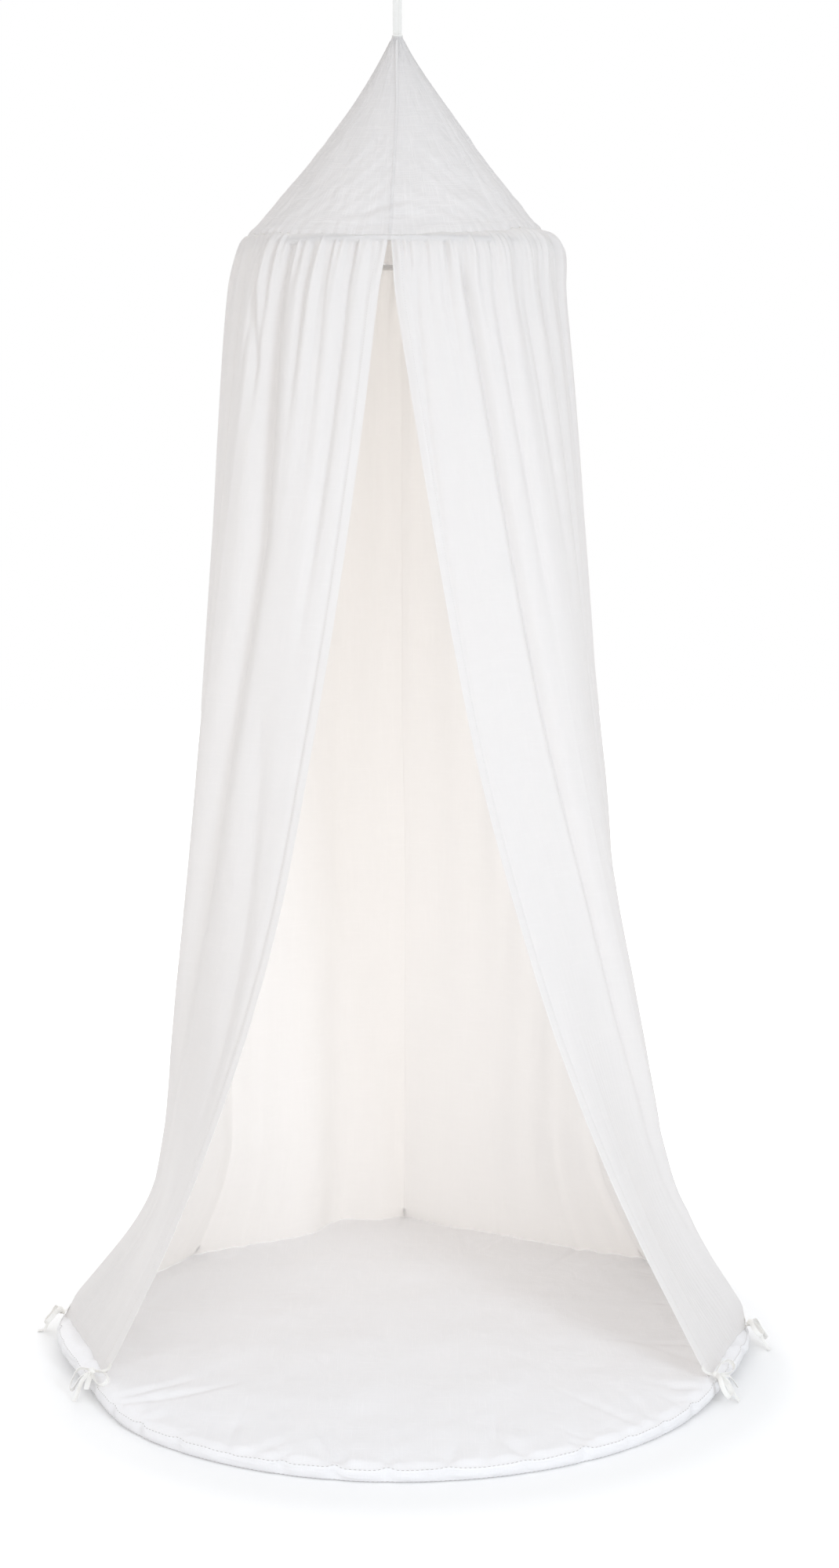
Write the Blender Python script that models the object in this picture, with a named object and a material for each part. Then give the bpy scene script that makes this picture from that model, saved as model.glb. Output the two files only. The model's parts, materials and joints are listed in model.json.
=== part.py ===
"""Hanging bed canopy: a cotton tent spread by a hoop and tied to a round padded mat.

Units are metres, +Z is up. The origin is the centre of the mat's underside, on the
floor, and the door faces -Y. Bearings are degrees round the canopy from the door,
positive towards +X, so the left side is at -90 and the back at -180.
"""
from math import atan2, cos, degrees, exp, hypot, pi, radians, sin, tan

import bmesh
import bpy
from mathutils import Matrix, Vector

# Fits
SEAT = 0.0003
SEAM = 0.0005
HEM_GAP = 0.0025

# Cloth and tape
CLOTH = 0.0015
HEM_CLOTH = 0.0010
TAPE_WIDTH = 0.008
TAPE_THICKNESS = 0.0012

# Mat
MAT_RADIUS = 0.65
MAT_EDGE_HEIGHT = 0.0245
MAT_CENTRE_HEIGHT = 0.034
MAT_SIDE_SWELL = 0.0045
MAT_LIP = 0.0015
MAT_RINGS = (0.0, 0.60, 0.78, 0.87, 0.95)
MAT_SEGMENTS = 60
MAT_PUCKERS = 30
MAT_PUCKER_DEPTH = 0.0025
MAT_PUCKER_START = 0.92
MAT_STRETCH_START = 0.55
MAT_RISE_START = 0.78
MAT_LIFT = 0.018
MAT_LIFT_BEARINGS = (-78.0, 75.0)
MAT_LIFT_SPREAD = 17.0
MAT_TIE_MARGIN = 0.016
MAT_TIE_PULL = 0.6
MAT_TIE_SPREAD = 13.0
MAT_TOP_PASSES = 6
BAND_STEPS = 3

# Eave, hoop and roof
EAVE_RADIUS = 0.2835
EAVE_HEIGHT = 2.0345
HOOP_TUBE_RADIUS = 0.004
HOOP_WALL = 0.0014
HOOP_SEGMENTS = 36
HOOP_SIDES = 8
HOOP_JOIN_GAP = 0.002
JOINER_PLAY = 0.0006
SLEEVE_PLAY = 0.0006
SLEEVE_CLOTH = 0.0012
SLEEVE_SLOT = 40.0
SLEEVE_STEPS = 6
APEX_HEIGHT = 2.411
APEX_RADIUS = 0.009
ROOF_BEND = 1.15
ROOF_GORES = 4
GORE_COLUMNS = 12
GORE_ROWS = 7
APEX_TAB_LENGTH = 0.012
APEX_TAB_RISE = 0.001
APEX_TAB_SIDES = 16

# Hanging loop
LOOP_WIDTH = 0.006
LOOP_THICKNESS = 0.003
LOOP_LEG_SPACING = 0.0085
LOOP_LEG_HEIGHT = 0.062
LOOP_EYE_WIDTH = 0.032
LOOP_EYE_STEPS = 12
LOOP_EYE_HEIGHT = 0.046

# Skirt
DOOR_BEARING = -3.7
DOOR_SLIT = 0.7
FOLDS = 21
FOLD_DEPTH = 0.011
FOLD_START = 0.06
SKIRT_COLUMNS = 105
SKIRT_DROPS = (0.0, 0.015, 0.068, 0.10, 0.19, 0.31, 0.44, 0.57, 0.69, 0.79, 0.87, 0.94, 1.0)
SEAM_SHARE = 0.0002
FOLD_FLAT_POWER = 5
FOLD_UNEVEN = 0.25
FOLD_UNEVEN_WAVES = 5
FOLD_UNEVEN_PHASE = 0.8
FOLD_DRIFT = 0.010
FOLD_DRIFT_WAVES = 3
FOLD_LEAN = 0.006
NORMAL_STEP = 0.001
SIDE_REACH = 0.47
SIDE_POWER = 0.75
KNEE_DROP = 0.85
EDGE_POWER = 2.8
BELLIES = ((0.123, 0.050), (0.880, 0.100))
BELLY_SPREAD = 0.036
BELLY_POWERS = (3, 12)
BACK_SHARE = 0.8
BACK_POWERS = (0.9, 6)
SWING_POWERS = (1.15, 1.0)
DOOR_SPREAD = 0.085
BACK_SPREAD = 0.17
DOOR_HEM_WIDTH = 0.022
DOOR_HEM_FULLEST = 0.8
DOOR_HEM_STEP = 0.004

# Door curtains that fold back
FLAP_ROWS = 10
FLAP_FOOT_SHARE = 0.68
FLAP_BEND = 2.2
FLAP_COLUMNS = 9
FOLD_LINE_OUT = (0.045, 0.006)

# Ties: name, bearing of the hem corner that each one holds, how far it stands in from
# the plain mat's rim, and the turn of its bow
TIES = (
    ("front_left", -63.5, 0.053, 46.0),
    ("left", -92.9, 0.0, 25.0),
    ("back_left", -132.5, 0.060, 0.0),
    ("back", -180.0, 0.035, 0.0),
    ("back_right", -233.5, 0.030, 0.0),
    ("right", -273.6, -0.002, -15.0),
    ("front_right", -297.8, 0.026, 25.0),
)
KNOT_SIZE = (0.0085, 0.0062, 0.0065)
KNOT_RISE = 0.0105
KNOT_OUT = 0.010
KNOT_FROM_RIM = 0.009
BOW_LOOP_LENGTH = 0.048
BOW_LOOP_WIDTH = 0.015
BOW_LOOP_TILT = 50.0
BOW_LOOP_SPREAD = (52.0, 47.0)
BOW_LOOP_STEPS = 7
BOW_TAIL_LENGTH = (0.066, 0.052)
BOW_TAIL_SPREAD = (19.0, 13.0)
BOW_TAIL_RISE = 0.0058
BOW_TAIL_REST = 0.0016
BOW_TAIL_STEPS = 5
STRAND_SPACING = 0.0026
TAPE_STRIDE = 0.004
RIM_CLEARANCE = 0.008
RIM_FALL = 0.028
ROOT_DROPS = (0.9955, 0.989)
ROOT_GAP = 0.0012
MAT_TAPE_BEND = 0.0012
MAT_TAPE_BEND_SHARE = 0.15


def ease(value):
    """Smooth step from 0 to 1."""
    value = min(max(value, 0.0), 1.0)
    return value * value * (3.0 - 2.0 * value)


def mix(low, high, share):
    return low + (high - low) * share


def spot(radius, bearing, height):
    """Point at a radius and a bearing from the door."""
    angle = radians(bearing)
    return Vector((radius * sin(angle), -radius * cos(angle), height))


def turn_between(first, second):
    """Smallest angle between two bearings."""
    return abs((first - second + 180.0) % 360.0 - 180.0)


def clear_scene():
    for item in list(bpy.data.objects):
        bpy.data.objects.remove(item, do_unlink=True)


def finish_material(name, colour, roughness):
    material = bpy.data.materials.new(name)
    material.use_nodes = True
    shader = material.node_tree.nodes["Principled BSDF"]
    shader.inputs["Base Color"].default_value = (*colour, 1.0)
    shader.inputs["Roughness"].default_value = roughness
    return material


def cotton():
    return finish_material("skirt_cotton", (0.86, 0.85, 0.83), 0.9)


def roof_cotton():
    return finish_material("roof_cotton", (0.80, 0.79, 0.78), 0.92)


def mat_cotton():
    return finish_material("mat_cotton", (0.85, 0.85, 0.84), 0.9)


def tape_cotton():
    return finish_material("tape_cotton", (0.84, 0.80, 0.72), 0.85)


def hoop_plastic():
    return finish_material("hoop_plastic", (0.75, 0.75, 0.73), 0.45)


def wadding():
    return finish_material("wadding", (0.9, 0.9, 0.88), 1.0)


def pivot(name, place):
    """Empty on a joint's axis, which carries the pieces that move with it."""
    empty = bpy.data.objects.new(name, None)
    empty.empty_display_size = 0.05
    empty.location = place
    bpy.context.collection.objects.link(empty)
    return empty


def add_piece(name, mesh, material, carrier=None):
    mesh.name = name
    mesh.materials.clear()
    mesh.materials.append(material)
    piece = bpy.data.objects.new(name, mesh)
    bpy.context.collection.objects.link(piece)
    if carrier is not None:
        piece.parent = carrier
        piece.matrix_parent_inverse = Matrix.Translation(-carrier.location)
    return piece


def mesh_from(bm, name):
    bmesh.ops.recalc_face_normals(bm, faces=bm.faces)
    if bm.calc_volume(signed=True) < 0.0:
        bmesh.ops.reverse_faces(bm, faces=bm.faces)
    mesh = bpy.data.meshes.new(name)
    bm.to_mesh(mesh)
    bm.free()
    mesh.shade_smooth()
    mesh.set_sharp_from_angle(angle=radians(50.0))
    return mesh


def thicken(piece, thickness, offset=0.0):
    solidify = piece.modifiers.new("thickness", "SOLIDIFY")
    solidify.thickness = thickness
    solidify.offset = offset
    solidify.use_even_offset = True
    solidify.use_rim = True
    return solidify


def split_quads(bm, key):
    """Cut each four-sided face from its lowest corner, so that skins in layers match."""
    for face in [face for face in bm.faces if len(face.verts) == 4]:
        corners = list(face.verts)
        start = corners.index(min(corners, key=key))
        bmesh.utils.face_split(face, corners[start], corners[(start + 2) % 4])


def evaluated_mesh(piece):
    graph = bpy.context.evaluated_depsgraph_get()
    graph.update()
    return bpy.data.meshes.new_from_object(piece.evaluated_get(graph))


def sheet_piece(name, form, columns, rows, thickness, material, carrier=None):
    """Sheet of cloth, cut flat as a slab and wrapped on a form.

    form(across, down) gives a point of the middle surface and the way out from it.
    """
    bm = bmesh.new()
    bmesh.ops.create_grid(bm, x_segments=columns, y_segments=rows, size=0.5)
    split_quads(bm, lambda corner: (round(corner.co.x, 5), round(corner.co.y, 5)))
    bmesh.ops.translate(bm, vec=(0, 0, -0.5), verts=bm.verts)
    grown = bmesh.ops.extrude_face_region(bm, geom=bm.faces[:])["geom"]
    raised = [part for part in grown if isinstance(part, bmesh.types.BMVert)]
    bmesh.ops.translate(bm, vec=(0, 0, 1.0), verts=raised)
    for corner in bm.verts:
        point, outward = form(corner.co.x + 0.5, 0.5 - corner.co.y)
        corner.co = point + outward * (corner.co.z * thickness)
    return add_piece(name, mesh_from(bm, name), material, carrier)


def strap_mesh(path, across, width, thickness):
    """Flat tape swept along a path by extruding its end face from point to point."""
    frames = []
    for index, point in enumerate(path):
        before = path[max(index - 1, 0)]
        after = path[min(index + 1, len(path) - 1)]
        along = (after - before).normalized()
        side = (across - along * across.dot(along)).normalized()
        frame = Matrix((side, along.cross(side), along)).transposed().to_4x4()
        frame.translation = point
        frames.append(frame)
    bm = bmesh.new()
    bmesh.ops.create_grid(bm, x_segments=1, y_segments=1, size=0.5)
    bmesh.ops.scale(bm, vec=(width, thickness, 1.0), verts=bm.verts)
    bmesh.ops.transform(bm, matrix=frames[0], verts=bm.verts)
    ring = bm.edges[:]
    for old, new in zip(frames, frames[1:]):
        grown = bmesh.ops.extrude_edge_only(bm, edges=ring)["geom"]
        ring = [part for part in grown if isinstance(part, bmesh.types.BMEdge)]
        corners = [part for part in grown if isinstance(part, bmesh.types.BMVert)]
        bmesh.ops.transform(bm, matrix=new @ old.inverted(), verts=corners)
    bmesh.ops.holes_fill(bm, edges=ring, sides=4)
    return mesh_from(bm, "strap")


def joined(base, additions, material):
    """One closed body from overlapping ones."""
    core = add_piece("join_core", base, material)
    helpers = []
    for mesh in additions:
        helper = add_piece("join_part", mesh, material)
        helpers.append(helper)
        union = core.modifiers.new("join", "BOOLEAN")
        union.operation = "UNION"
        union.solver = "EXACT"
        union.object = helper
    result = evaluated_mesh(core)
    for item in (core, *helpers):
        bpy.data.objects.remove(item, do_unlink=True)
    return result


def mat_edge_radius(bearing):
    """Outline of the mat, which each tie draws in or out."""
    radius = MAT_RADIUS
    for _, tie_bearing, inset, _ in TIES:
        pull = MAT_TIE_PULL * (MAT_TIE_MARGIN - inset)
        radius += pull * exp(-(turn_between(bearing, tie_bearing) / MAT_TIE_SPREAD) ** 2)
    return radius


def mat_edge_lift(bearing):
    """How far the side ties lift the mat's rim."""
    return MAT_LIFT * sum(
        exp(-(turn_between(bearing, centre) / MAT_LIFT_SPREAD) ** 2)
        for centre in MAT_LIFT_BEARINGS
    )


def mat_stretch(radius, bearing):
    """Ratio of the drawn mat to a plain disc at a radius of the plain disc."""
    share = ease((radius / MAT_RADIUS - MAT_STRETCH_START) / (1.0 - MAT_STRETCH_START))
    return mix(1.0, mat_edge_radius(bearing) / MAT_RADIUS, share)


def mat_rise(radius, bearing):
    share = (radius / MAT_RADIUS - MAT_RISE_START) / (1.0 - MAT_RISE_START)
    return mat_edge_lift(bearing) * ease(share)


def mat_form(point):
    """Move a point of the plain round mat to its place in the tied one."""
    radius = hypot(point.x, point.y)
    if radius < 1e-6:
        return point.copy()
    bearing = degrees(atan2(point.x, -point.y))
    gather = 0.5 - 0.5 * cos(radians(MAT_PUCKERS * bearing))
    share = (radius / MAT_RADIUS - MAT_PUCKER_START) / (1.0 - MAT_PUCKER_START)
    pucker = MAT_PUCKER_DEPTH * gather * ease(share)
    placed = spot(radius * mat_stretch(radius, bearing) - pucker, bearing, point.z)
    placed.z += mat_rise(radius, bearing)
    return placed


def mat_seam_place(bearing):
    """Point on the straight-sided seam round the mat's top at a bearing."""
    step = 360.0 / MAT_SEGMENTS
    low = bearing // step * step
    seam = MAT_RADIUS - MAT_SIDE_SWELL - MAT_LIP - 0.5 * CLOTH
    ends = [mat_form(spot(seam, place, MAT_EDGE_HEIGHT)) for place in (low, low + step)]
    return ends[0].lerp(ends[1], (bearing - low) / step)


def mat_tape_foot(bearing):
    """Middle of a tape's sewn end, clear of the seam on both sides of a sloping rim."""
    half = degrees(0.5 * TAPE_WIDTH / MAT_RADIUS)
    foot = mat_seam_place(bearing)
    seam = max(mat_seam_place(bearing + side).z for side in (-half, half))
    foot.z = seam + SEAT + 0.5 * TAPE_THICKNESS
    return foot


def mat_crown(radius):
    """Height of the plain mat's top at a radius."""
    return mix(MAT_CENTRE_HEIGHT, MAT_EDGE_HEIGHT, (radius / MAT_RADIUS) ** 2)


def mat_top(point):
    """Height of the tied mat's top under a point."""
    bearing = degrees(atan2(point.x, -point.y))
    radius = hypot(point.x, point.y)
    plain = radius
    for _ in range(MAT_TOP_PASSES):
        plain = min(radius / mat_stretch(plain, bearing), MAT_RADIUS)
    return mat_crown(plain) + mat_rise(plain, bearing)


def turned_profile(profile, steps, closed):
    """Full turn of a profile of (radius, height) points about the vertical axis."""
    bm = bmesh.new()
    points = [bm.verts.new((radius, 0.0, height)) for radius, height in profile]
    pairs = list(zip(points, points[1:]))
    if closed:
        pairs.append((points[-1], points[0]))
    edges = [bm.edges.new(pair) for pair in pairs]
    bmesh.ops.spin(
        bm, geom=points + edges, cent=(0, 0, 0), axis=(0, 0, 1),
        angle=2 * pi, steps=steps, use_merge=True,
    )
    bmesh.ops.remove_doubles(bm, verts=bm.verts, dist=1e-6)
    return bm


def turned_mat_piece(name, profile, material, closed):
    """Ring or disc of the mat, turned and then drawn to the tied mat's form."""
    bm = turned_profile(profile, MAT_SEGMENTS, closed)
    split_quads(bm, mat_corner_key)
    for corner in bm.verts:
        corner.co = mat_form(corner.co)
    return add_piece(name, mesh_from(bm, name), material)


def mat_corner_key(corner):
    place = corner.co
    return (round(hypot(place.x, place.y), 4), round(place.z, 4), round(atan2(place.y, place.x), 3))


def band_profile(inset):
    """Side wall of the mat from its bottom seam to its top seam, moved in by an inset."""
    seam = MAT_RADIUS - MAT_SIDE_SWELL - MAT_LIP
    points = []
    for step in range(BAND_STEPS + 1):
        share = step / BAND_STEPS
        swell = MAT_SIDE_SWELL * sin(pi * share)
        points.append((seam + swell - inset, MAT_EDGE_HEIGHT * share))
    return points


def build_mat():
    fabric = mat_cotton()
    rim = MAT_RADIUS - MAT_SIDE_SWELL - MAT_LIP - CLOTH - SEAT
    rings = [share * MAT_RADIUS for share in MAT_RINGS] + [rim]

    top = [(radius, mat_crown(radius)) for radius in rings]
    under = [(radius, height - CLOTH) for radius, height in reversed(top)]
    turned_mat_piece("mat_top_cover", top + under, fabric, closed=False)

    base = [(radius, CLOTH) for radius in rings]
    floor = [(radius, 0.0) for radius in reversed(rings)]
    turned_mat_piece("mat_base_cover", base + floor, fabric, closed=False)

    outer = band_profile(0.0)
    inner = list(reversed(band_profile(CLOTH)))
    turned_mat_piece("mat_side_band", outer + inner, fabric, closed=True)

    skin = CLOTH + SEAT
    crown = [(radius, mat_crown(radius) - skin) for radius in rings]
    side = [(radius, height) for radius, height in reversed(band_profile(skin)[1:-1])]
    bottom = [(radius, skin) for radius in reversed(rings)]
    turned_mat_piece("mat_filling", crown + side + bottom, wadding(), closed=False)


def hem_corners():
    return [spot(MAT_RADIUS - inset, bearing, 0.0) for _, bearing, inset, _ in TIES]


def hem_shares():
    """Share of the skirt's width at which each tie is sewn."""
    corners = hem_corners()
    lengths = [0.0]
    for first, second in zip(corners, corners[1:]):
        lengths.append(lengths[-1] + (second - first).length)
    return [length / lengths[-1] for length in lengths]


def hem_point(share):
    """Point of the straight-sided hem, as a bearing and a radius."""
    share = min(max(share, 0.0), 1.0)
    corners = hem_corners()
    shares = hem_shares()
    span = max(index for index in range(len(TIES) - 1) if shares[index] <= share)
    along = (share - shares[span]) / (shares[span + 1] - shares[span])
    point = corners[span].lerp(corners[span + 1], along)
    bearing = degrees(atan2(point.x, -point.y))
    if bearing > 0.0:
        bearing -= 360.0
    return bearing, hypot(point.x, point.y)


def door_weight(share):
    """1 at the door's edges and 0 round the sides and back."""
    return exp(-(min(share, 1.0 - share) / DOOR_SPREAD) ** 2)


def skirt_reach(share, drop):
    """How far out the skirt has gone from the hoop to the hem."""
    knee = ease((drop - KNEE_DROP) / (1.0 - KNEE_DROP) * 0.5) * 2.0
    side = mix(min(knee, 1.0), drop ** SIDE_POWER, SIDE_REACH)
    edge = drop ** EDGE_POWER
    back = mix(drop ** BACK_POWERS[1], drop ** BACK_POWERS[0], BACK_SHARE)
    back_weight = exp(-((share - 0.5) / BACK_SPREAD) ** 2)
    return mix(mix(side, back, back_weight), edge, door_weight(share))


def belly(share, drop):
    """How far the skirt billows out above the side ties."""
    rise = drop ** BELLY_POWERS[0] * (1.0 - drop ** BELLY_POWERS[1])
    return rise * sum(depth * exp(-((share - centre) / BELLY_SPREAD) ** 2) for centre, depth in BELLIES)


def fold_offset(share, drop):
    """Main folds: nothing at the hoop, deepest in the upper half, pulled flat at the hem."""
    grown = 1.0 - exp(-drop / FOLD_START)
    flat = 1.0 - drop ** FOLD_FLAT_POWER
    wave = sin(2 * pi * FOLD_UNEVEN_WAVES * share + FOLD_UNEVEN_PHASE)
    uneven = 1.0 - FOLD_UNEVEN + FOLD_UNEVEN * wave
    drift = share + FOLD_DRIFT * sin(2 * pi * FOLD_DRIFT_WAVES * share) + FOLD_LEAN * drop
    return FOLD_DEPTH * grown * flat * uneven * cos(2 * pi * FOLDS * drift)


def skirt_point(share, drop):
    """Middle surface of the skirt: share runs round from the left door edge, drop down."""
    top_bearing = DOOR_BEARING - 0.5 * DOOR_SLIT - (360.0 - DOOR_SLIT) * share
    hem_bearing, hem_radius = hem_point(share)
    swing = drop ** mix(*SWING_POWERS, share)
    bearing = mix(top_bearing, hem_bearing, swing)
    radius = mix(EAVE_RADIUS, hem_radius, skirt_reach(share, drop))
    radius += belly(share, drop) + fold_offset(share, drop)
    hem = spot(hem_radius, hem_bearing, 0.0)
    hem_height = mat_top(hem) + HEM_GAP
    return spot(radius, bearing, mix(EAVE_HEIGHT, hem_height, drop))


def skirt_normal(share, drop):
    """Way out from the skirt at a point."""
    ends = [(max(value - NORMAL_STEP, 0.0), min(value + NORMAL_STEP, 1.0)) for value in (share, drop)]
    across = skirt_point(ends[0][1], drop) - skirt_point(ends[0][0], drop)
    down = skirt_point(share, ends[1][1]) - skirt_point(share, ends[1][0])
    return across.cross(down).normalized()


def skirt_form(share, drop, inset=0.0):
    outward = skirt_normal(share, drop)
    return skirt_point(share, drop) - outward * inset, outward


def row_drop(down, first_row=0):
    rows = SKIRT_DROPS[first_row:]
    return rows[round(down * (len(rows) - 1))]


def flap_top_row():
    return len(SKIRT_DROPS) - 1 - FLAP_ROWS


def flap_share(drop, foot):
    """Share of the skirt's width that the folding curtain takes at a drop."""
    start = SKIRT_DROPS[flap_top_row() - 1]
    if drop <= start:
        return 0.0
    fall = (drop - start) / (1.0 - start)
    return foot * (1.0 - (1.0 - fall) ** FLAP_BEND)


def door_hem_share(drop, foot, mirrored):
    """Share of the skirt's width that the turned hem of the door takes."""
    first = 1.0 if mirrored else 0.0
    second = abs(first - DOOR_HEM_STEP)
    run = (skirt_point(first, drop) - skirt_point(second, drop)).length / DOOR_HEM_STEP
    return min(DOOR_HEM_WIDTH / run, DOOR_HEM_FULLEST * flap_share(drop, foot))


def build_skirt_panels(canopy):
    """Skirt panels between the ties; the two at the door stop at their curtains."""
    shares = hem_shares()
    names = (
        "skirt_left_front", "skirt_left_side", "skirt_back_left",
        "skirt_back_right", "skirt_right_side", "skirt_right_front",
    )
    fabric = cotton()
    last = len(names) - 1
    feet = flap_feet()
    rows = len(SKIRT_DROPS) - 1
    for index, name in enumerate(names):
        low, high = shares[index], shares[index + 1]

        def place(across, down, low=low, high=high, index=index):
            drop = row_drop(down)
            start = flap_share(drop, feet[0]) if index == 0 else low
            end = 1.0 - flap_share(drop, feet[1]) if index == last else high
            return skirt_form(mix(start + SEAM_SHARE, end - SEAM_SHARE, across), drop)

        columns = round(SKIRT_COLUMNS * (high - low))
        sheet_piece(name, place, columns, rows, CLOTH, fabric, canopy)


def flap_feet():
    """Hem shares of the two folding curtains, left and right."""
    shares = hem_shares()
    return (
        shares[1] * FLAP_FOOT_SHARE,
        (1.0 - shares[-2]) * FLAP_FOOT_SHARE,
    )


def flap_axis(mirrored):
    """Two ends of the line that a door curtain folds about, clear of the bulge of the cloth."""
    foot = flap_feet()[1] if mirrored else flap_feet()[0]
    ends = []
    shares = (0.0, foot)
    drops = (SKIRT_DROPS[flap_top_row() - 1], 1.0)
    for share, drop, stand_off in zip(shares, drops, FOLD_LINE_OUT):
        point = skirt_point(1.0 - share if mirrored else share, drop)
        outward = Vector((point.x, point.y, 0.0)).normalized()
        ends.append(point + outward * stand_off)
    return ends


def build_flap(side, mirrored, carrier):
    """Folding curtain with its turned hem behind its first column."""
    foot = flap_feet()[1] if mirrored else flap_feet()[0]

    def place(across, down, inset=0.0):
        drop = row_drop(down, flap_top_row())
        column = round(across * FLAP_COLUMNS)
        hem = door_hem_share(drop, foot, mirrored)
        width = flap_share(drop, foot) - SEAM_SHARE
        share = 0.0 if column == 0 else mix(hem, width, (column - 1) / (FLAP_COLUMNS - 1))
        return skirt_form(1.0 - share if mirrored else share, drop, inset)

    def hem_place(across, down):
        inset = 0.5 * CLOTH + SEAT + 0.5 * HEM_CLOTH
        return place(across / FLAP_COLUMNS, down, inset)

    fabric = cotton()
    sheet_piece(f"{side}_door_curtain", place, FLAP_COLUMNS, FLAP_ROWS, CLOTH, fabric, carrier)
    sheet_piece(f"{side}_door_hem", hem_place, 1, FLAP_ROWS, HEM_CLOTH, fabric, carrier)


def hoop_place():
    """Radius and height of the hoop's centre line, tucked under roof and skirt."""
    sleeve = HOOP_TUBE_RADIUS + SLEEVE_PLAY + SLEEVE_CLOTH
    flat = EAVE_RADIUS * (1.0 - cos(pi / (ROOF_GORES * GORE_COLUMNS)))
    clearance = 0.5 * CLOTH + SEAM + flat + sleeve
    corner = 0.5 * pi + atan2(1.0, roof_slope(EAVE_HEIGHT))
    return EAVE_RADIUS - clearance, EAVE_HEIGHT - clearance / tan(0.5 * corner)


def arc_curve(name, radius, height, start, end, steps, bevel, material, carrier):
    """Round tube or rod along an arc between two bearings."""
    curve = bpy.data.curves.new(name, "CURVE")
    curve.dimensions = "3D"
    line = curve.splines.new("POLY")
    line.points.add(steps)
    for index, point in enumerate(line.points):
        point.co = (*spot(radius, mix(start, end, index / steps), height), 1.0)
    curve.bevel_depth = bevel
    curve.bevel_resolution = (HOOP_SIDES - 4) // 2
    curve.materials.append(material)
    piece = bpy.data.objects.new(name, curve)
    bpy.context.collection.objects.link(piece)
    piece.parent = carrier
    piece.matrix_parent_inverse = Matrix.Translation(-carrier.location)
    return piece


def build_hoop(canopy):
    radius, height = hoop_place()
    plastic = hoop_plastic()
    gap = degrees(HOOP_JOIN_GAP / radius)
    tube = arc_curve(
        "hoop_tube", radius, height, 180.0 + 0.5 * gap, 540.0 - 0.5 * gap,
        HOOP_SEGMENTS, HOOP_TUBE_RADIUS, plastic, canopy,
    )
    wall = thicken(tube, HOOP_WALL, offset=-1.0)
    wall.use_even_offset = False

    half = 360.0 / HOOP_SEGMENTS
    bore = HOOP_TUBE_RADIUS - HOOP_WALL
    joiner = arc_curve(
        "hoop_joiner", radius, height, 180.0 - half, 180.0 + half,
        2, bore - JOINER_PLAY, plastic, canopy,
    )
    joiner.data.use_fill_caps = True


def build_sleeve(canopy):
    """Channel tape wrapped round the hoop, its open lips turned out to the eave seam."""
    radius, height = hoop_place()
    inner = HOOP_TUBE_RADIUS + SLEEVE_PLAY

    def wrapped(reach, start, end):
        angles = [radians(mix(start, end, step / SLEEVE_STEPS)) for step in range(SLEEVE_STEPS + 1)]
        return [(radius + reach * cos(angle), height + reach * sin(angle)) for angle in angles]

    outside = wrapped(inner + SLEEVE_CLOTH, SLEEVE_SLOT, 360.0 - SLEEVE_SLOT)
    inside = wrapped(inner, 360.0 - SLEEVE_SLOT, SLEEVE_SLOT)
    bm = turned_profile(outside + inside, HOOP_SEGMENTS, closed=True)
    add_piece("hoop_sleeve", mesh_from(bm, "hoop_sleeve"), roof_cotton(), canopy)


def roof_radius(height):
    share = (APEX_HEIGHT - height) / (APEX_HEIGHT - EAVE_HEIGHT)
    return mix(APEX_RADIUS, EAVE_RADIUS, share ** ROOF_BEND)


def roof_slope(height):
    """Growth of the roof's radius for each metre down."""
    rise = APEX_HEIGHT - EAVE_HEIGHT
    share = (APEX_HEIGHT - height) / rise
    return ROOF_BEND * (EAVE_RADIUS - APEX_RADIUS) / rise * share ** (ROOF_BEND - 1.0)


def build_roof(canopy):
    """Four gores whose lower edge rests on the skirt's top edge."""
    fabric = roof_cotton()
    names = ("roof_gore_front_left", "roof_gore_back_left", "roof_gore_back_right", "roof_gore_front_right")
    turn = 360.0 / ROOF_GORES
    lean = Vector((1.0, 0.0, roof_slope(EAVE_HEIGHT))).normalized().z
    base = EAVE_HEIGHT + SEAT + 0.5 * CLOTH * lean
    for index, name in enumerate(names):

        def place(across, down, index=index):
            height = mix(APEX_HEIGHT, base, down)
            radius = roof_radius(height)
            seam = degrees(0.5 * SEAM / radius)
            start = DOOR_BEARING - turn * index - seam
            end = DOOR_BEARING - turn * (index + 1) + seam
            bearing = mix(start, end, across)
            return spot(radius, bearing, height), spot(1.0, bearing, roof_slope(height)).normalized()

        sheet_piece(name, place, GORE_COLUMNS, GORE_ROWS, CLOTH, fabric, canopy)


def apex_tab_top():
    return APEX_HEIGHT + APEX_TAB_RISE


def build_apex_tab(canopy, material):
    """Sewn tape ends that fill the hole at the roof's point."""
    radius = APEX_RADIUS - 0.5 * CLOTH - SEAM
    bm = bmesh.new()
    bmesh.ops.create_cone(
        bm, cap_ends=True, segments=APEX_TAB_SIDES,
        radius1=radius, radius2=radius, depth=APEX_TAB_LENGTH,
    )
    bmesh.ops.translate(bm, vec=(0, 0, apex_tab_top() - 0.5 * APEX_TAB_LENGTH), verts=bm.verts)
    add_piece("apex_tape_end", mesh_from(bm, "apex_tape_end"), material, canopy)


def loop_axis_height():
    """Height of the line on which the hanging loop swings, just above its sewn end."""
    reach = hypot(0.5 * LOOP_THICKNESS, 0.5 * LOOP_THICKNESS)
    return apex_tab_top() + reach + SEAT


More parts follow.
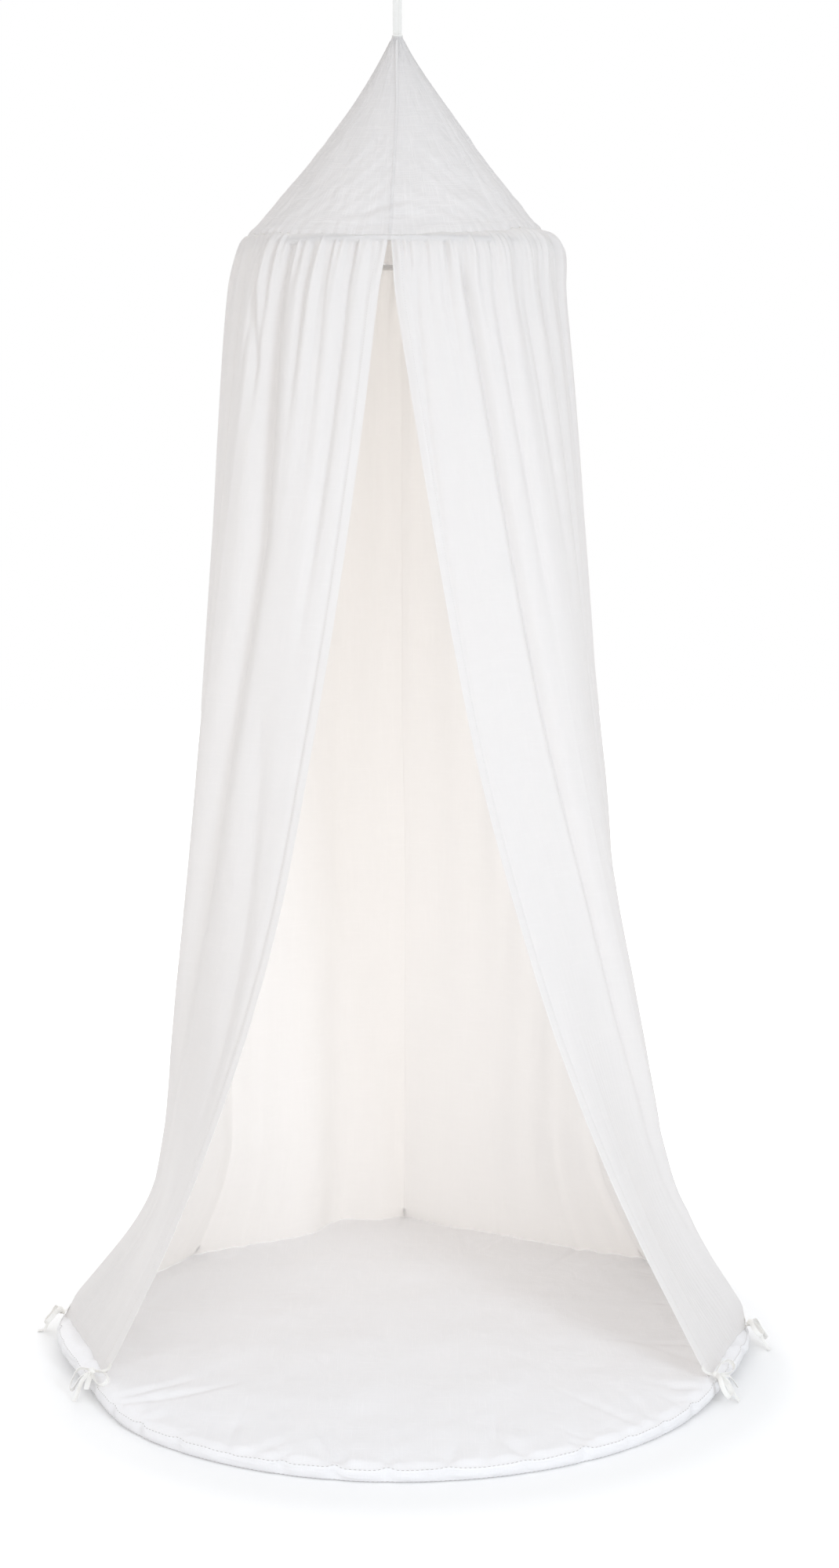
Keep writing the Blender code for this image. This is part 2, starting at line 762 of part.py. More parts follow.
def build_hanging_loop(carrier, material):
    """Two legs of tape side by side that open into an eye at the top."""
    start = loop_axis_height() - 0.5 * LOOP_THICKNESS
    half = 0.5 * LOOP_LEG_SPACING
    leg = LOOP_LEG_HEIGHT
    path = [Vector((half, 0.0, start)), Vector((half, 0.0, start + 0.5 * leg))]
    wider = 0.5 * LOOP_EYE_WIDTH - half
    for step in range(LOOP_EYE_STEPS + 1):
        angle = pi * step / LOOP_EYE_STEPS
        x = half * cos(angle) + wider * sin(2.0 * angle)
        path.append(Vector((x, 0.0, start + leg + LOOP_EYE_HEIGHT * sin(angle))))
    path += [Vector((-point.x, 0.0, point.z)) for point in reversed(path[:2])]
    mesh = strap_mesh(path, Vector((0, 1, 0)), LOOP_THICKNESS, LOOP_WIDTH)
    return add_piece("hanging_loop", mesh, material, carrier)


def lying_height(place, rise, rest):
    """Height of a tape that lies over the mat's rim, and on the floor beyond it."""
    bearing = degrees(atan2(place.x, -place.y))
    rim = mat_edge_radius(bearing)
    radius = hypot(place.x, place.y)
    fall = ease((radius - rim - RIM_CLEARANCE) / RIM_FALL)
    return mix(mat_top(spot(min(radius, rim), bearing, 0.0)) + rise, rest, fall)


def lying_point(knot, bearing, length, rise, rest):
    """Point of a tape at a length from its knot, the tape heading off at a bearing."""
    heading = spot(1.0, bearing, 0.0)
    place = knot.copy()
    gone = 0.0
    while gone < length:
        stride = min(TAPE_STRIDE, length - gone)
        gone += stride
        start = mix(KNOT_RISE, rise, ease(gone / (2.0 * KNOT_OUT)))
        ahead = place + heading * stride
        ahead.z = lying_height(ahead, start, rest)
        place = place + (ahead - place).normalized() * stride
    return place


def bow_strands(knot, middle):
    """Two loops and two tails of a bow whose middle points at a bearing."""
    strands = []
    tilt = radians(BOW_LOOP_TILT)
    for which, hand in enumerate((-1.0, 1.0)):
        bearing = middle + hand * BOW_LOOP_SPREAD[which]
        heading = spot(1.0, bearing, 0.0)
        beside = Vector((0, 0, 1)).cross(heading) * hand
        over = Vector((0, 0, cos(tilt))) + beside * sin(tilt)
        path = []
        for step in range(BOW_LOOP_STEPS + 1):
            turn = pi * step / BOW_LOOP_STEPS
            point = lying_point(knot, bearing, BOW_LOOP_LENGTH * sin(turn), KNOT_RISE, KNOT_RISE)
            side = 0.5 * BOW_LOOP_WIDTH * sin(2.0 * turn) + 0.5 * STRAND_SPACING * cos(turn)
            path.append(point + over * side)
        strands.append(strap_mesh(path, heading.cross(over), TAPE_WIDTH, TAPE_THICKNESS))

        bearing = middle + hand * BOW_TAIL_SPREAD[which]
        stride = BOW_TAIL_LENGTH[which] / BOW_TAIL_STEPS
        path = [
            lying_point(knot, bearing, stride * step, BOW_TAIL_RISE, BOW_TAIL_REST)
            for step in range(BOW_TAIL_STEPS + 1)
        ]
        strands.append(strap_mesh(path, spot(1.0, bearing + 90.0, 0.0), TAPE_WIDTH, TAPE_THICKNESS))
    return strands


def knot_mesh(place, bearing):
    bm = bmesh.new()
    bmesh.ops.create_icosphere(bm, subdivisions=1, radius=1.0)
    bmesh.ops.scale(bm, vec=KNOT_SIZE, verts=bm.verts)
    bmesh.ops.rotate(bm, matrix=Matrix.Rotation(radians(bearing), 3, "Z"), verts=bm.verts)
    bmesh.ops.translate(bm, vec=place, verts=bm.verts)
    return mesh_from(bm, "knot")


def build_ties(canopy, left_flap, right_flap, material):
    """A bow at each hem corner, its sewn root, and the tape on the mat below it."""
    for index, (name, bearing, inset, turn) in enumerate(TIES):
        carrier = canopy
        if index == 0:
            carrier = left_flap
        if index == len(TIES) - 1:
            carrier = right_flap
        along = spot(1.0, bearing + 90.0, 0.0)
        rim = mat_edge_radius(bearing)
        knot = spot(max(MAT_RADIUS - inset + KNOT_OUT, rim - KNOT_FROM_RIM), bearing, 0.0)
        knot.z = lying_height(knot, KNOT_RISE, KNOT_RISE)

        share = hem_shares()[index]
        lift = 0.5 * CLOTH + ROOT_GAP + 0.5 * TAPE_THICKNESS
        root = [knot]
        for drop in ROOT_DROPS:
            place, outward = skirt_form(share, drop)
            root.append(place + outward * lift)
        strands = [strap_mesh(root, along, TAPE_WIDTH, TAPE_THICKNESS)]
        strands += bow_strands(knot, bearing + turn)
        bow = joined(knot_mesh(knot, bearing + turn), strands, material)
        add_piece(f"bow_{name}", bow, material, carrier)

        foot = mat_tape_foot(bearing)
        bend = foot.lerp(knot, MAT_TAPE_BEND_SHARE)
        bend.z = foot.z + MAT_TAPE_BEND
        head = knot - Vector((0, 0, KNOT_SIZE[2] + SEAT + 0.5 * TAPE_THICKNESS))
        mesh = strap_mesh([foot, bend, head], along, TAPE_WIDTH, TAPE_THICKNESS)
        add_piece(f"mat_tape_{name}", mesh, material)


clear_scene()
tape_material = tape_cotton()
canopy_lift = pivot("canopy_lift", Vector((0.0, 0.0, EAVE_HEIGHT)))
left_flap_fold = pivot("left_flap_fold", flap_axis(False)[0])
right_flap_fold = pivot("right_flap_fold", flap_axis(True)[0])
loop_swing = pivot("loop_swing", Vector((0.0, 0.0, loop_axis_height())))
for follower in (left_flap_fold, right_flap_fold, loop_swing):
    follower.parent = canopy_lift
    follower.matrix_parent_inverse = Matrix.Translation(-canopy_lift.location)

build_mat()
build_hoop(canopy_lift)
build_sleeve(canopy_lift)
build_roof(canopy_lift)
build_apex_tab(canopy_lift, tape_material)
build_hanging_loop(loop_swing, tape_material)
build_skirt_panels(canopy_lift)
build_flap("left", False, left_flap_fold)
build_flap("right", True, right_flap_fold)
build_ties(canopy_lift, left_flap_fold, right_flap_fold, tape_material)
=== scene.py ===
"""Looks of a hanging bed canopy: a gathered cotton tent on a hoop, tied to a padded round mat.

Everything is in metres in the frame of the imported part: the origin is the centre of the mat's
underside, +Z is up and the door faces -Y. A bearing is in degrees round the canopy from the
door, positive towards +X. A share runs from 0 at the left door edge round the back to 1 at the
right door edge, and a drop from 0 at the eave to 1 at the hem.
"""

import json
import random
from math import cos, degrees, pi, radians, sin, tau

import bmesh
import bpy
import numpy as np
from mathutils import Matrix, Vector
from mathutils.bvhtree import BVHTree


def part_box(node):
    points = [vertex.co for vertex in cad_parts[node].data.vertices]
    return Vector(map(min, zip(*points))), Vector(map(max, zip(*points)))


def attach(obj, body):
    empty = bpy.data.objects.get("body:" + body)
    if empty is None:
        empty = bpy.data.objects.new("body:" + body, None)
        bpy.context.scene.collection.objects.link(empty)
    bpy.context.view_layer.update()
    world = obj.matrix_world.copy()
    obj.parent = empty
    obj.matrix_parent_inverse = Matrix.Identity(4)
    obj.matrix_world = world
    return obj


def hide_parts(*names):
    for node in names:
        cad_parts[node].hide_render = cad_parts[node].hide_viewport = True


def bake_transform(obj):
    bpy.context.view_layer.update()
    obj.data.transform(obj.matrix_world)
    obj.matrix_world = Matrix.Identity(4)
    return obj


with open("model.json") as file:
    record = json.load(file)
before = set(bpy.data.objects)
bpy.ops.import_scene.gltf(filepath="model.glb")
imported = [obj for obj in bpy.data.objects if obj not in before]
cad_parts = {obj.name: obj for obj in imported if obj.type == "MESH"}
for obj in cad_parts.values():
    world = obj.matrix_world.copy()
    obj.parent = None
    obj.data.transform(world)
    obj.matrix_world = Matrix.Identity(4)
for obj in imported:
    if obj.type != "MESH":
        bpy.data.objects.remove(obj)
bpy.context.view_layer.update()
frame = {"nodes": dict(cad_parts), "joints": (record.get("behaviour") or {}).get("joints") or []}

# Camera, from the photograph's view
CAMERA_PLACE = (0.0332, -4.2248, 1.6298)
CAMERA_TILT = 82.44
CAMERA_LENS = 52.77

# Lamps: name, place, aim, size, power and colour
SOFTBOXES = (
    ("key_right", (2.4, -4.3, 2.3), (0.0, 0.0, 0.6), (1.1, 1.3), 57.0, (0.80, 0.90, 1.0)),
    ("front", (-1.6, -4.9, 2.1), (0.0, 0.0, 0.3), (2.6, 2.2), 36.0, (0.985, 0.985, 1.0)),
    ("back", (-1.2, 4.0, 1.5), (0.0, 0.0, 0.7), (3.4, 2.6), 88.0, (1.0, 0.98, 0.95)),
)
AMBIENT_COLOUR = (0.98, 0.985, 1.0, 1.0)
AMBIENT_STRENGTH = 0.79
WHITE = (1.0, 1.0, 1.0, 1.0)

# Floor: the glow that lifts it to white rises over FLOOR_FADE, from FLOOR_CLEAR out of the centre
FLOOR_REACH = 12.0
FLOOR_GAP = 0.0005
FLOOR_COLOUR = (0.84, 0.84, 0.84, 1.0)
FLOOR_CLEAR = 0.72
FLOOR_FADE = 0.6
FLOOR_GLOW = (0.17, 0.80)

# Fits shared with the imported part
EAVE_RADIUS = 0.2835
EAVE_HEIGHT = 2.0345
APEX_HEIGHT = 2.411
APEX_RADIUS = 0.009
HEM_GAP = 0.0008
CLOTH_THICKNESS = 0.0008

# Cuts of cloth: columns and rows of their grids, and how near the points are that weld
DOOR_GRID = (210, 220)
BACK_GRID = (300, 155)
ROOF_GRID = (420, 110)
MAT_GRID = (720, 128)
SLEEVE_GRID = (900, 14)
WELD = 1e-6
MAT_WELD = 2e-5

# Sewing: a cut edge shows where faces meet at more than CUT_EDGE_ANGLE degrees
CUT_EDGE_ANGLE = 50.0
STITCH_LENGTH = 0.0032
STITCH_PITCH = 1.45
MAT_STITCH_LENGTH = 0.0055
MAT_STITCH_THICKNESS = 0.0010

# How far a curtain's fold zone reaches from its hinge line, on the skirt and on the curtain
FOLD_ZONE = (0.02, 0.05)

# Hoop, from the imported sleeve's box
sleeve_low, sleeve_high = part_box("hoop_sleeve")
HOOP_SLEEVE = 0.5 * (sleeve_high.z - sleeve_low.z)
HOOP_HEIGHT = 0.5 * (sleeve_high.z + sleeve_low.z)
HOOP_RING = 0.25 * (sleeve_high.x - sleeve_low.x + sleeve_high.y - sleeve_low.y) - HOOP_SLEEVE
HOOP_WRAP = HOOP_SLEEVE + CLOTH_THICKNESS

# Mat: MAT_LIFTS holds the bearing, height and spread of each lift of its rim by the ties
MAT_RADIUS = 0.65
MAT_EDGE_HEIGHT = 0.0245
MAT_CENTRE_HEIGHT = 0.034
MAT_LIFTS = ((-78.0, 0.018, 17.0), (75.0, 0.018, 17.0), (180.0, 0.011, 26.0))
MAT_TIE_MARGIN = 0.016
MAT_TIE_PULL = 0.6
MAT_TIE_SPREAD = 13.0
MAT_STRETCH_START = 0.55
MAT_RISE_START = 0.78
MAT_SEAM_RADIUS = 0.644
MAT_SWELL = 0.0048
MAT_NICKS = 41
NICK_DRAW = 0.0044
RIM_CREASES = 64
RIM_CREASE_DEPTH = 0.0062
RIM_PLEATS = 330.0
RIM_PLEAT_SPREAD = 11.0

# Shares of the cover's run, from the middle of its top, at which its band and its base begin
MAT_BAND_START = 0.60
MAT_BASE_START = 0.78

# Ties: name, bearing, distance in from the mat's rim, turn of the bow
TIES = (
    ("front_left", -63.5, 0.053, 46.0),
    ("left", -92.9, 0.0, 25.0),
    ("back_left", -132.5, 0.060, 0.0),
    ("back", -180.0, 0.035, 0.0),
    ("back_right", -233.5, 0.030, 0.0),
    ("right", -273.6, -0.002, -15.0),
    ("front_right", -297.8, 0.026, 25.0),
)

# Skirt: BELLIES holds the share and depth of each billow over a side tie
DOOR_BEARING = -3.7
DOOR_SLIT = 0.7
CLOTH_WIDTH = 2.5
CLOTH_HEIGHT = 2.1
SIDE_REACH = 0.47
KNEE_DROP = 0.85
DOOR_SPREAD = 0.085
BACK_SPREAD = 0.17
BELLIES = ((0.123, 0.050), (0.880, 0.100))
BELLY_SPREAD = 0.036
SIDE_SEAM_SHARES = (0.20, 0.79)
DOOR_HEM_SHARE = 0.0088
DOOR_CURL = 0.0035
FOOT_HEM_DROP = 0.0067
HEM_STEP = 0.0006
TIE_RIDGE = 0.006

# Slack stretch of the back hem: its share, depth and spread, and the way it bulges
SLACK_SHARE = 0.440
SLACK_DEPTH = 0.050
SLACK_SPREAD = 0.026
SLACK_WAY = (-0.43, 0.90)

# Gathers under the eave: how many there are round the skirt, and their depth
FINE_GATHERS = 124.0
FINE_GATHER_DEPTH = 0.0026
BROAD_GATHERS = 58.0
BROAD_GATHER_DEPTH = 0.0058

# Folds: each is a run of (drop, share, depth in FOLD_UNIT) and a half width as a share of the skirt
FOLD_UNIT = 0.00125
FRONT_FOLDS = (
    (((0.02, 0.0105, 1.5), (0.40, 0.0108, 3.0), (0.75, 0.0105, 2.5), (1.0, 0.009, 0.0)), 0.0030),
    (((0.005, 0.030, 3.0), (0.10, 0.031, 9.0), (0.22, 0.032, 8.0), (0.38, 0.033, 0.0)), 0.0050),
    (((0.005, 0.052, 3.0), (0.10, 0.051, 5.0), (0.24, 0.049, 0.0)), 0.0045),
    (((0.005, 0.076, 4.0), (0.06, 0.075, 6.0), (0.17, 0.073, 0.0)), 0.0045),
    (((0.01, 0.101, 7.0), (0.06, 0.105, 16.0), (0.14, 0.101, 24.0), (0.26, 0.091, 22.0), (0.40, 0.095, 18.0),
      (0.55, 0.100, 15.0), (0.75, 0.108, 9.0), (0.90, 0.118, 4.0), (1.0, 0.1286, 0.0)), 0.0105),
    (((0.01, 0.147, 5.0), (0.06, 0.134, 8.0), (0.11, 0.122, 7.0), (0.17, 0.117, 0.0)), 0.0055),
    (((0.36, 0.068, 0.0), (0.45, 0.055, 4.0), (0.58, 0.042, 7.0), (0.75, 0.024, 6.0), (0.90, 0.015, 3.0),
      (1.0, 0.010, 0.0)), 0.0090),
    (((0.02, 0.168, 6.0), (0.30, 0.164, 11.0), (0.70, 0.168, 8.0), (1.0, 0.175, 0.0)), 0.0100),
    (((0.02, 0.200, 6.0), (0.30, 0.199, 10.0), (0.80, 0.204, 6.0), (1.0, 0.205, 0.0)), 0.0110),
    (((0.02, 0.801, 6.0), (0.35, 0.800, 10.0), (0.80, 0.806, 6.0), (1.0, 0.810, 0.0)), 0.0110),
    (((0.02, 0.838, 7.0), (0.12, 0.826, 11.0), (0.30, 0.824, 11.0), (0.60, 0.832, 10.0), (0.80, 0.844, 7.0),
      (1.0, 0.865, 0.0)), 0.0090),
    (((0.01, 0.866, 5.0), (0.08, 0.865, 6.0), (0.20, 0.862, 3.0), (0.32, 0.860, 0.0)), 0.0055),
    (((0.005, 0.905, 4.0), (0.10, 0.902, 7.0), (0.22, 0.898, 6.0), (0.38, 0.895, 0.0)), 0.0055),
    (((0.005, 0.938, 4.0), (0.06, 0.928, 9.0), (0.26, 0.923, 11.0), (0.40, 0.919, 11.0), (0.54, 0.913, 10.0),
      (0.70, 0.908, 8.0), (0.86, 0.900, 4.0), (1.0, 0.892, 0.0)), 0.0042),
    (((0.005, 0.955, 3.0), (0.06, 0.953, 4.0), (0.14, 0.950, 0.0)), 0.0040),
    (((0.005, 0.973, 2.0), (0.07, 0.981, 4.0), (0.14, 0.986, 4.0), (0.26, 0.9910, 3.0), (0.70, 0.9905, 3.0),
      (1.0, 0.991, 0.0)), 0.0034),
)

# Folds round the sides and the back: their number, and the (drop, depth) that they share
BACK_FOLDS = 15
BACK_FOLD_RUN = ((0.0, 0.0), (0.05, 7.0), (0.25, 8.0), (0.55, 3.0), (0.80, 1.0), (1.0, 0.0))
FOLD_SWELL = 0.0055

# Roll of the cloth over the hoop, how far its seam with the roof rides up, and how both ends lean
SHOULDER = 0.0182
SHOULDER_LEAN = 0.65
SHOULDER_DROP = 0.020
SHOULDER_WRAP = 0.7
SEAM_RISE = (0.0035, 0.0255, 0.0055)
SKIRT_LEAN = -0.0078
APEX_LEAN = -0.0062

# Silhouettes of the two sides: runs of (drop, mm outward), and the shares at which they start and end
MILLIMETRE = 0.001
LEFT_SIDE = ((0.56, 0.0), (0.66, -9.0), (0.75, -18.0), (0.80, -18.0), (0.85, -12.0), (0.92, 2.0),
             (0.975, 10.0), (1.0, 0.0))
RIGHT_SIDE = ((0.38, 0.0), (0.48, 9.0), (0.57, 12.0), (0.66, 12.0), (0.74, 6.0), (0.80, 0.0), (0.84, 6.0),
              (0.88, 18.0), (0.93, 14.0), (0.975, 16.0), (1.0, 0.0))
SIDE_SHARES = ((0.20, 0.128), (0.80, 0.887))
SIDE_SPREAD = 0.045

# Roof: its waves are the drifting ones, the creases and the dragged wrinkles
ROOF_BEND = 1.17
ROOF_WAVES = (0.0028, 0.0024, 0.0011)
ROOF_SEAM_RIDGE = 0.0034
ROOF_TUCK_FALL = 0.875
ROOF_TUCK_SPREAD = 0.088
ROOF_TUCK_DEPTH = 0.0052
ROOF_BUNCH_DEPTH = 0.0028
ROOF_PUCKERS = 76.0
ROOF_PUCKER_OUT = 0.0018
ROOF_PUCKER_DOWN = 0.0011
ROOF_EAVE_SWELL = 0.0026
FELLED_SEAM = (0.0042, 0.0007, 0.0002)

# Tapes and their bows; angles are in degrees, and a pair is for the bow's two sides
TAPE_WIDTH = 0.0098
TAPE_THICKNESS = 0.0009
KNOT_SIZE = (0.0080, 0.0062, 0.0058)
KNOT_RISE = 0.0105
KNOT_OUT = 0.010
KNOT_FROM_RIM = 0.009
RIM_CLEARANCE = 0.008
RIM_FALL = 0.028
BOW_LOOP = (0.055, 0.022)
BOW_LOOP_NARROWING = 0.9
BOW_TILT = 50.0
BOW_LOOP_SPREAD = (62.0, 52.0)
BOW_TAILS = (0.066, 0.052)
BOW_TAIL_SPREAD = (19.0, 13.0)
BOW_TAIL_RISE = 0.0058
BOW_TAIL_REST = 0.0012
TIE_ROOT_DROPS = (0.9955, 0.989)
TIE_ROOT_OUT = 0.0016
FLAP_TIES = {"front_left": "left_flap", "front_right": "right_flap"}

# Hanging tape: half widths and heights of its pair of strands and of its eye
STRAND_HALF = 0.0041
STRAND_LEG = 0.062
EYE_HALF = 0.016
EYE_HEIGHT = 0.046
HANGING_TAPE = (0.0080, 0.0026, 0.0006)

# Sewn end at the apex: a plug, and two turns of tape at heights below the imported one's top
PLUG_RADII = (0.0088, 0.0084)
PLUG_HEIGHT = 0.012
PLUG_DROP = 0.0068
WRAP_RADIUS = 0.0089
WRAP_DROPS = (0.0055, 0.0024)
WRAP_TAPE = (0.0026, 0.0008)


def ease(value):
    """Smooth step from 0 to 1."""
    value = np.clip(value, 0.0, 1.0)
    return value * value * (3.0 - 2.0 * value)


def mix(low, high, share):
    return low + (high - low) * share


def bump_at(value, centre, width):
    """Smooth hump of height 1 at a centre."""
    return np.exp(-((value - centre) / width) ** 2)


def ripples(x, y, seed, count=7):
    """Smooth field of about -1 to 1 that never repeats, from a few seeded waves."""
    draw = random.Random(seed)
    total = 0.0
    for _ in range(count):
        heading = draw.uniform(0.0, tau)
        wave = draw.uniform(0.55, 1.7)
        total = total + np.sin(wave * (x * cos(heading) + y * sin(heading)) + draw.uniform(0.0, tau))
    return total / count ** 0.5


def strands(x, seed, count=6):
    """Smooth row of about -1 to 1 that never repeats."""
    draw = random.Random(seed)
    total = 0.0
    for _ in range(count):
        total = total + np.sin(draw.uniform(0.5, 1.6) * x + draw.uniform(0.0, tau))
    return total / count ** 0.5


def round_strands(turn, seed, slowest, fastest):
    """Row of about -1 to 1 round a ring that meets itself after one turn."""
    draw = random.Random(seed)
    total = 0.0
    for _ in range(7):
        total = total + np.sin(tau * draw.randint(slowest, fastest) * turn + draw.uniform(0.0, tau))
    return total / 7 ** 0.5


def round_places(radius, bearing, height):
    """Points at radii and bearings from the door, as rows of x, y and z."""
    angle = np.radians(bearing)
    return np.stack(np.broadcast_arrays(radius * np.sin(angle), -radius * np.cos(angle), height), axis=-1)


def runs_along(points):
    """Length of a path up to each of its points."""
    return np.concatenate([[0.0], np.cumsum(np.linalg.norm(np.diff(points, axis=0), axis=1))])


def path_at(lengths, runs, points):
    """Rows of values at lengths along a path."""
    return np.stack([np.interp(lengths, runs, column) for column in points.T], axis=-1)


def unit(rows):
    """Rows scaled to a length of 1."""
    return rows / np.maximum(np.linalg.norm(rows, axis=-1, keepdims=True), 1e-9)


def turn_between(first, second):
    """Smallest angle between two bearings."""
    return np.abs((first - second + 180.0) % 360.0 - 180.0)


def bump_round(bearing, centre, spread):
    """Smooth hump of height 1 round a bearing."""
    return np.exp(-(turn_between(bearing, centre) / spread) ** 2)


# Camera, light and floor


def add_node(tree, kind, inputs=None, **settings):
    """New shader node; each input takes a value or another node's output."""
    node = tree.nodes.new("ShaderNode" + kind)
    for name, value in settings.items():
        setattr(node, name, value)
    set_inputs(tree, node, inputs or {})
    return node


def set_inputs(tree, node, inputs):
    for name, value in inputs.items():
        if isinstance(value, bpy.types.NodeSocket):
            tree.links.new(value, node.inputs[name])
        else:
            node.inputs[name].default_value = value


def math_node(tree, operation, first, second=0.0):
    return add_node(tree, "Math", {0: first, 1: second}, operation=operation).outputs[0]


def seen_ray(tree):
    """1 for camera, mirror and see-through rays, 0 for the light that reaches surfaces."""
    path = add_node(tree, "LightPath").outputs
    direct = math_node(tree, "MAXIMUM", path["Is Camera Ray"], path["Is Glossy Ray"])
    return math_node(tree, "MAXIMUM", direct, path["Is Transmission Ray"])


def mix_to_output(tree, share, first, second, output="Material Output"):
    """Send a mix of two shaders to the output: a share of 0 gives the first."""
    choice = add_node(tree, "MixShader", {"Fac": share, 1: first.outputs[0], 2: second.outputs[0]})
    tree.links.new(choice.outputs[0], tree.nodes[output].inputs["Surface"])


def mesh_from(bm, name):
    """Mesh that takes over a finished bmesh."""
    mesh = bpy.data.meshes.new(name)
    bm.to_mesh(mesh)
    bm.free()
    return mesh


def new_object(name, data):
    made = bpy.data.objects.new(name, data)
    bpy.context.scene.collection.objects.link(made)
    return made


def make_camera():
    data = bpy.data.cameras.new("camera")
    data.lens = CAMERA_LENS
    camera = new_object("camera", data)
    camera.location = CAMERA_PLACE
    camera.rotation_euler = (radians(CAMERA_TILT), 0.0, 0.0)
    bpy.context.scene.camera = camera


def softbox(name, place, aim, size, power, colour):
    data = bpy.data.lights.new(name, "AREA")
    data.shape = "RECTANGLE"
    data.size, data.size_y = size
    data.energy = power
    data.color = colour
    lamp = new_object(name, data)
    lamp.location = place
    lamp.rotation_euler = (Vector(aim) - Vector(place)).to_track_quat("-Z", "Y").to_euler()


def make_world():
    """Soft light from all sides, seen as plain white."""
    world = bpy.data.worlds.new("studio")
    world.use_nodes = True
    bpy.context.scene.world = world
    tree = world.node_tree
    ambient = tree.nodes["Background"]
    set_inputs(tree, ambient, {"Color": AMBIENT_COLOUR, "Strength": AMBIENT_STRENGTH})
    white = add_node(tree, "Background", {"Color": WHITE, "Strength": 1.0})
    mix_to_output(tree, seen_ray(tree), ambient, white, "World Output")


def new_material(name):
    """Material, its node tree and its main shader."""
    material = bpy.data.materials.new(name)
    material.use_nodes = True
    return material, material.node_tree, material.node_tree.nodes["Principled BSDF"]


def make_floor():
    """Pale paint that glows towards white for seen rays alone, least of all round the object."""
    bm = bmesh.new()
    bmesh.ops.create_grid(bm, x_segments=1, y_segments=1, size=FLOOR_REACH)
    mesh = mesh_from(bm, "floor")
    floor = new_object("floor", mesh)
    floor.location.z = -FLOOR_GAP
    material, tree, paint = new_material("floor_paint")
    set_inputs(tree, paint, {"Base Color": FLOOR_COLOUR, "Roughness": 0.9, "Specular IOR Level": 0.1})
    place = add_node(tree, "TexCoord").outputs["Object"]
    lift = add_node(tree, "MapRange", {
        "Value": add_node(tree, "VectorMath", {0: place}, operation="LENGTH").outputs["Value"],
        "From Min": FLOOR_CLEAR, "From Max": FLOOR_CLEAR + FLOOR_FADE,
        "To Min": FLOOR_GLOW[0], "To Max": FLOOR_GLOW[1],
    })
    glow = add_node(tree, "Emission", {"Color": WHITE, "Strength": lift.outputs["Result"]})
    lifted = add_node(tree, "AddShader", {0: paint.outputs[0], 1: glow.outputs[0]})
    mix_to_output(tree, seen_ray(tree), paint, lifted)
    mesh.materials.append(material)


make_camera()
make_world()
make_floor()
for softbox_row in SOFTBOXES:
    softbox(*softbox_row)
bpy.context.scene.view_settings.view_transform = "Standard"


# Cotton and plastic


def group_tree(name, inputs, outputs):
    """Node group on cloth coordinates with numbers in and out; returns it with its two ends."""
    tree = bpy.data.node_groups.new(name, "ShaderNodeTree")
    tree.interface.new_socket("Vector", in_out="INPUT", socket_type="NodeSocketVector")
    for socket, value in inputs.items():
        made = tree.interface.new_socket(socket, in_out="INPUT", socket_type="NodeSocketFloat")
        made.default_value = value
    for socket in outputs:
        tree.interface.new_socket(socket, in_out="OUTPUT", socket_type="NodeSocketFloat")
    return tree, tree.nodes.new("NodeGroupInput").outputs, tree.nodes.new("NodeGroupOutput")


def streaks(tree, vector, across, along, detail=2.0):
    """Noise drawn out into threads: across and along are its counts to the metre."""
    mapped = add_node(tree, "Mapping", {"Vector": vector, "Scale": (across, along, 1.0)}).outputs["Vector"]
    noise = add_node(tree, "TexNoise", {"Vector": mapped, "Scale": 1.0, "Detail": detail, "Roughness": 0.55})
    return noise.outputs["Fac"]


def make_weave_group():
    """Plain weave with thicker slub threads, on cloth coordinates in metres."""
    tree, given, result = group_tree(
        "slubby_plain_weave", {"Slub": 0.5, "Threads": 900.0}, ("Height", "Shade"))
    vector = given["Vector"]
    threads = math_node(tree, "ADD", streaks(tree, vector, 850.0, 28.0), streaks(tree, vector, 28.0, 850.0))
    slubs = [streaks(tree, vector, across, along, 1.0) for across, along in ((420.0, 9.0), (9.0, 420.0))]
    thick = math_node(tree, "SUBTRACT", math_node(tree, "MAXIMUM", *slubs), 0.56)
    sharp = math_node(tree, "MAXIMUM", math_node(tree, "MULTIPLY", thick, 5.0), 0.0)
    slub = math_node(tree, "MULTIPLY", sharp, given["Slub"])
    split = add_node(tree, "SeparateXYZ", {0: vector}).outputs
    lines = []
    for axis in ("X", "Y"):
        turn = math_node(tree, "MULTIPLY", split[axis], given["Threads"])
        lines.append(math_node(tree, "SINE", math_node(tree, "MULTIPLY", turn, tau)))
    basket = math_node(tree, "MULTIPLY", math_node(tree, "MULTIPLY", *lines), 0.25)
    height = math_node(tree, "ADD", math_node(tree, "ADD", threads, slub), basket)
    shade = math_node(tree, "ADD", math_node(tree, "MULTIPLY", threads, 0.5), slub)
    set_inputs(tree, result, {"Height": height, "Shade": shade})
    return tree


def make_crease_group():
    """Soft creases left by folding and wear: Size is their count to the metre."""
    tree, given, result = group_tree("soft_creases", {"Size": 14.0, "Length": 0.35}, ("Height",))
    along = math_node(tree, "MULTIPLY", given["Size"], given["Length"])
    counts = add_node(tree, "CombineXYZ", {"X": given["Size"], "Y": along}).outputs[0]
    scaled = add_node(tree, "VectorMath", {0: given["Vector"], 1: counts}, operation="MULTIPLY").outputs[0]
    noise = add_node(tree, "TexNoise", {"Vector": scaled, "Scale": 1.0, "Detail": 3.0, "Distortion": 0.6})
    centred = math_node(tree, "SUBTRACT", noise.outputs["Fac"], 0.5)
    rounded = math_node(tree, "ADD", math_node(tree, "MULTIPLY", centred, centred), 0.0006)
    height = math_node(tree, "MULTIPLY", math_node(tree, "SQRT", rounded), 4.0)
    set_inputs(tree, result, {"Height": height})
    return tree


WEAVE = make_weave_group()
CREASES = make_crease_group()


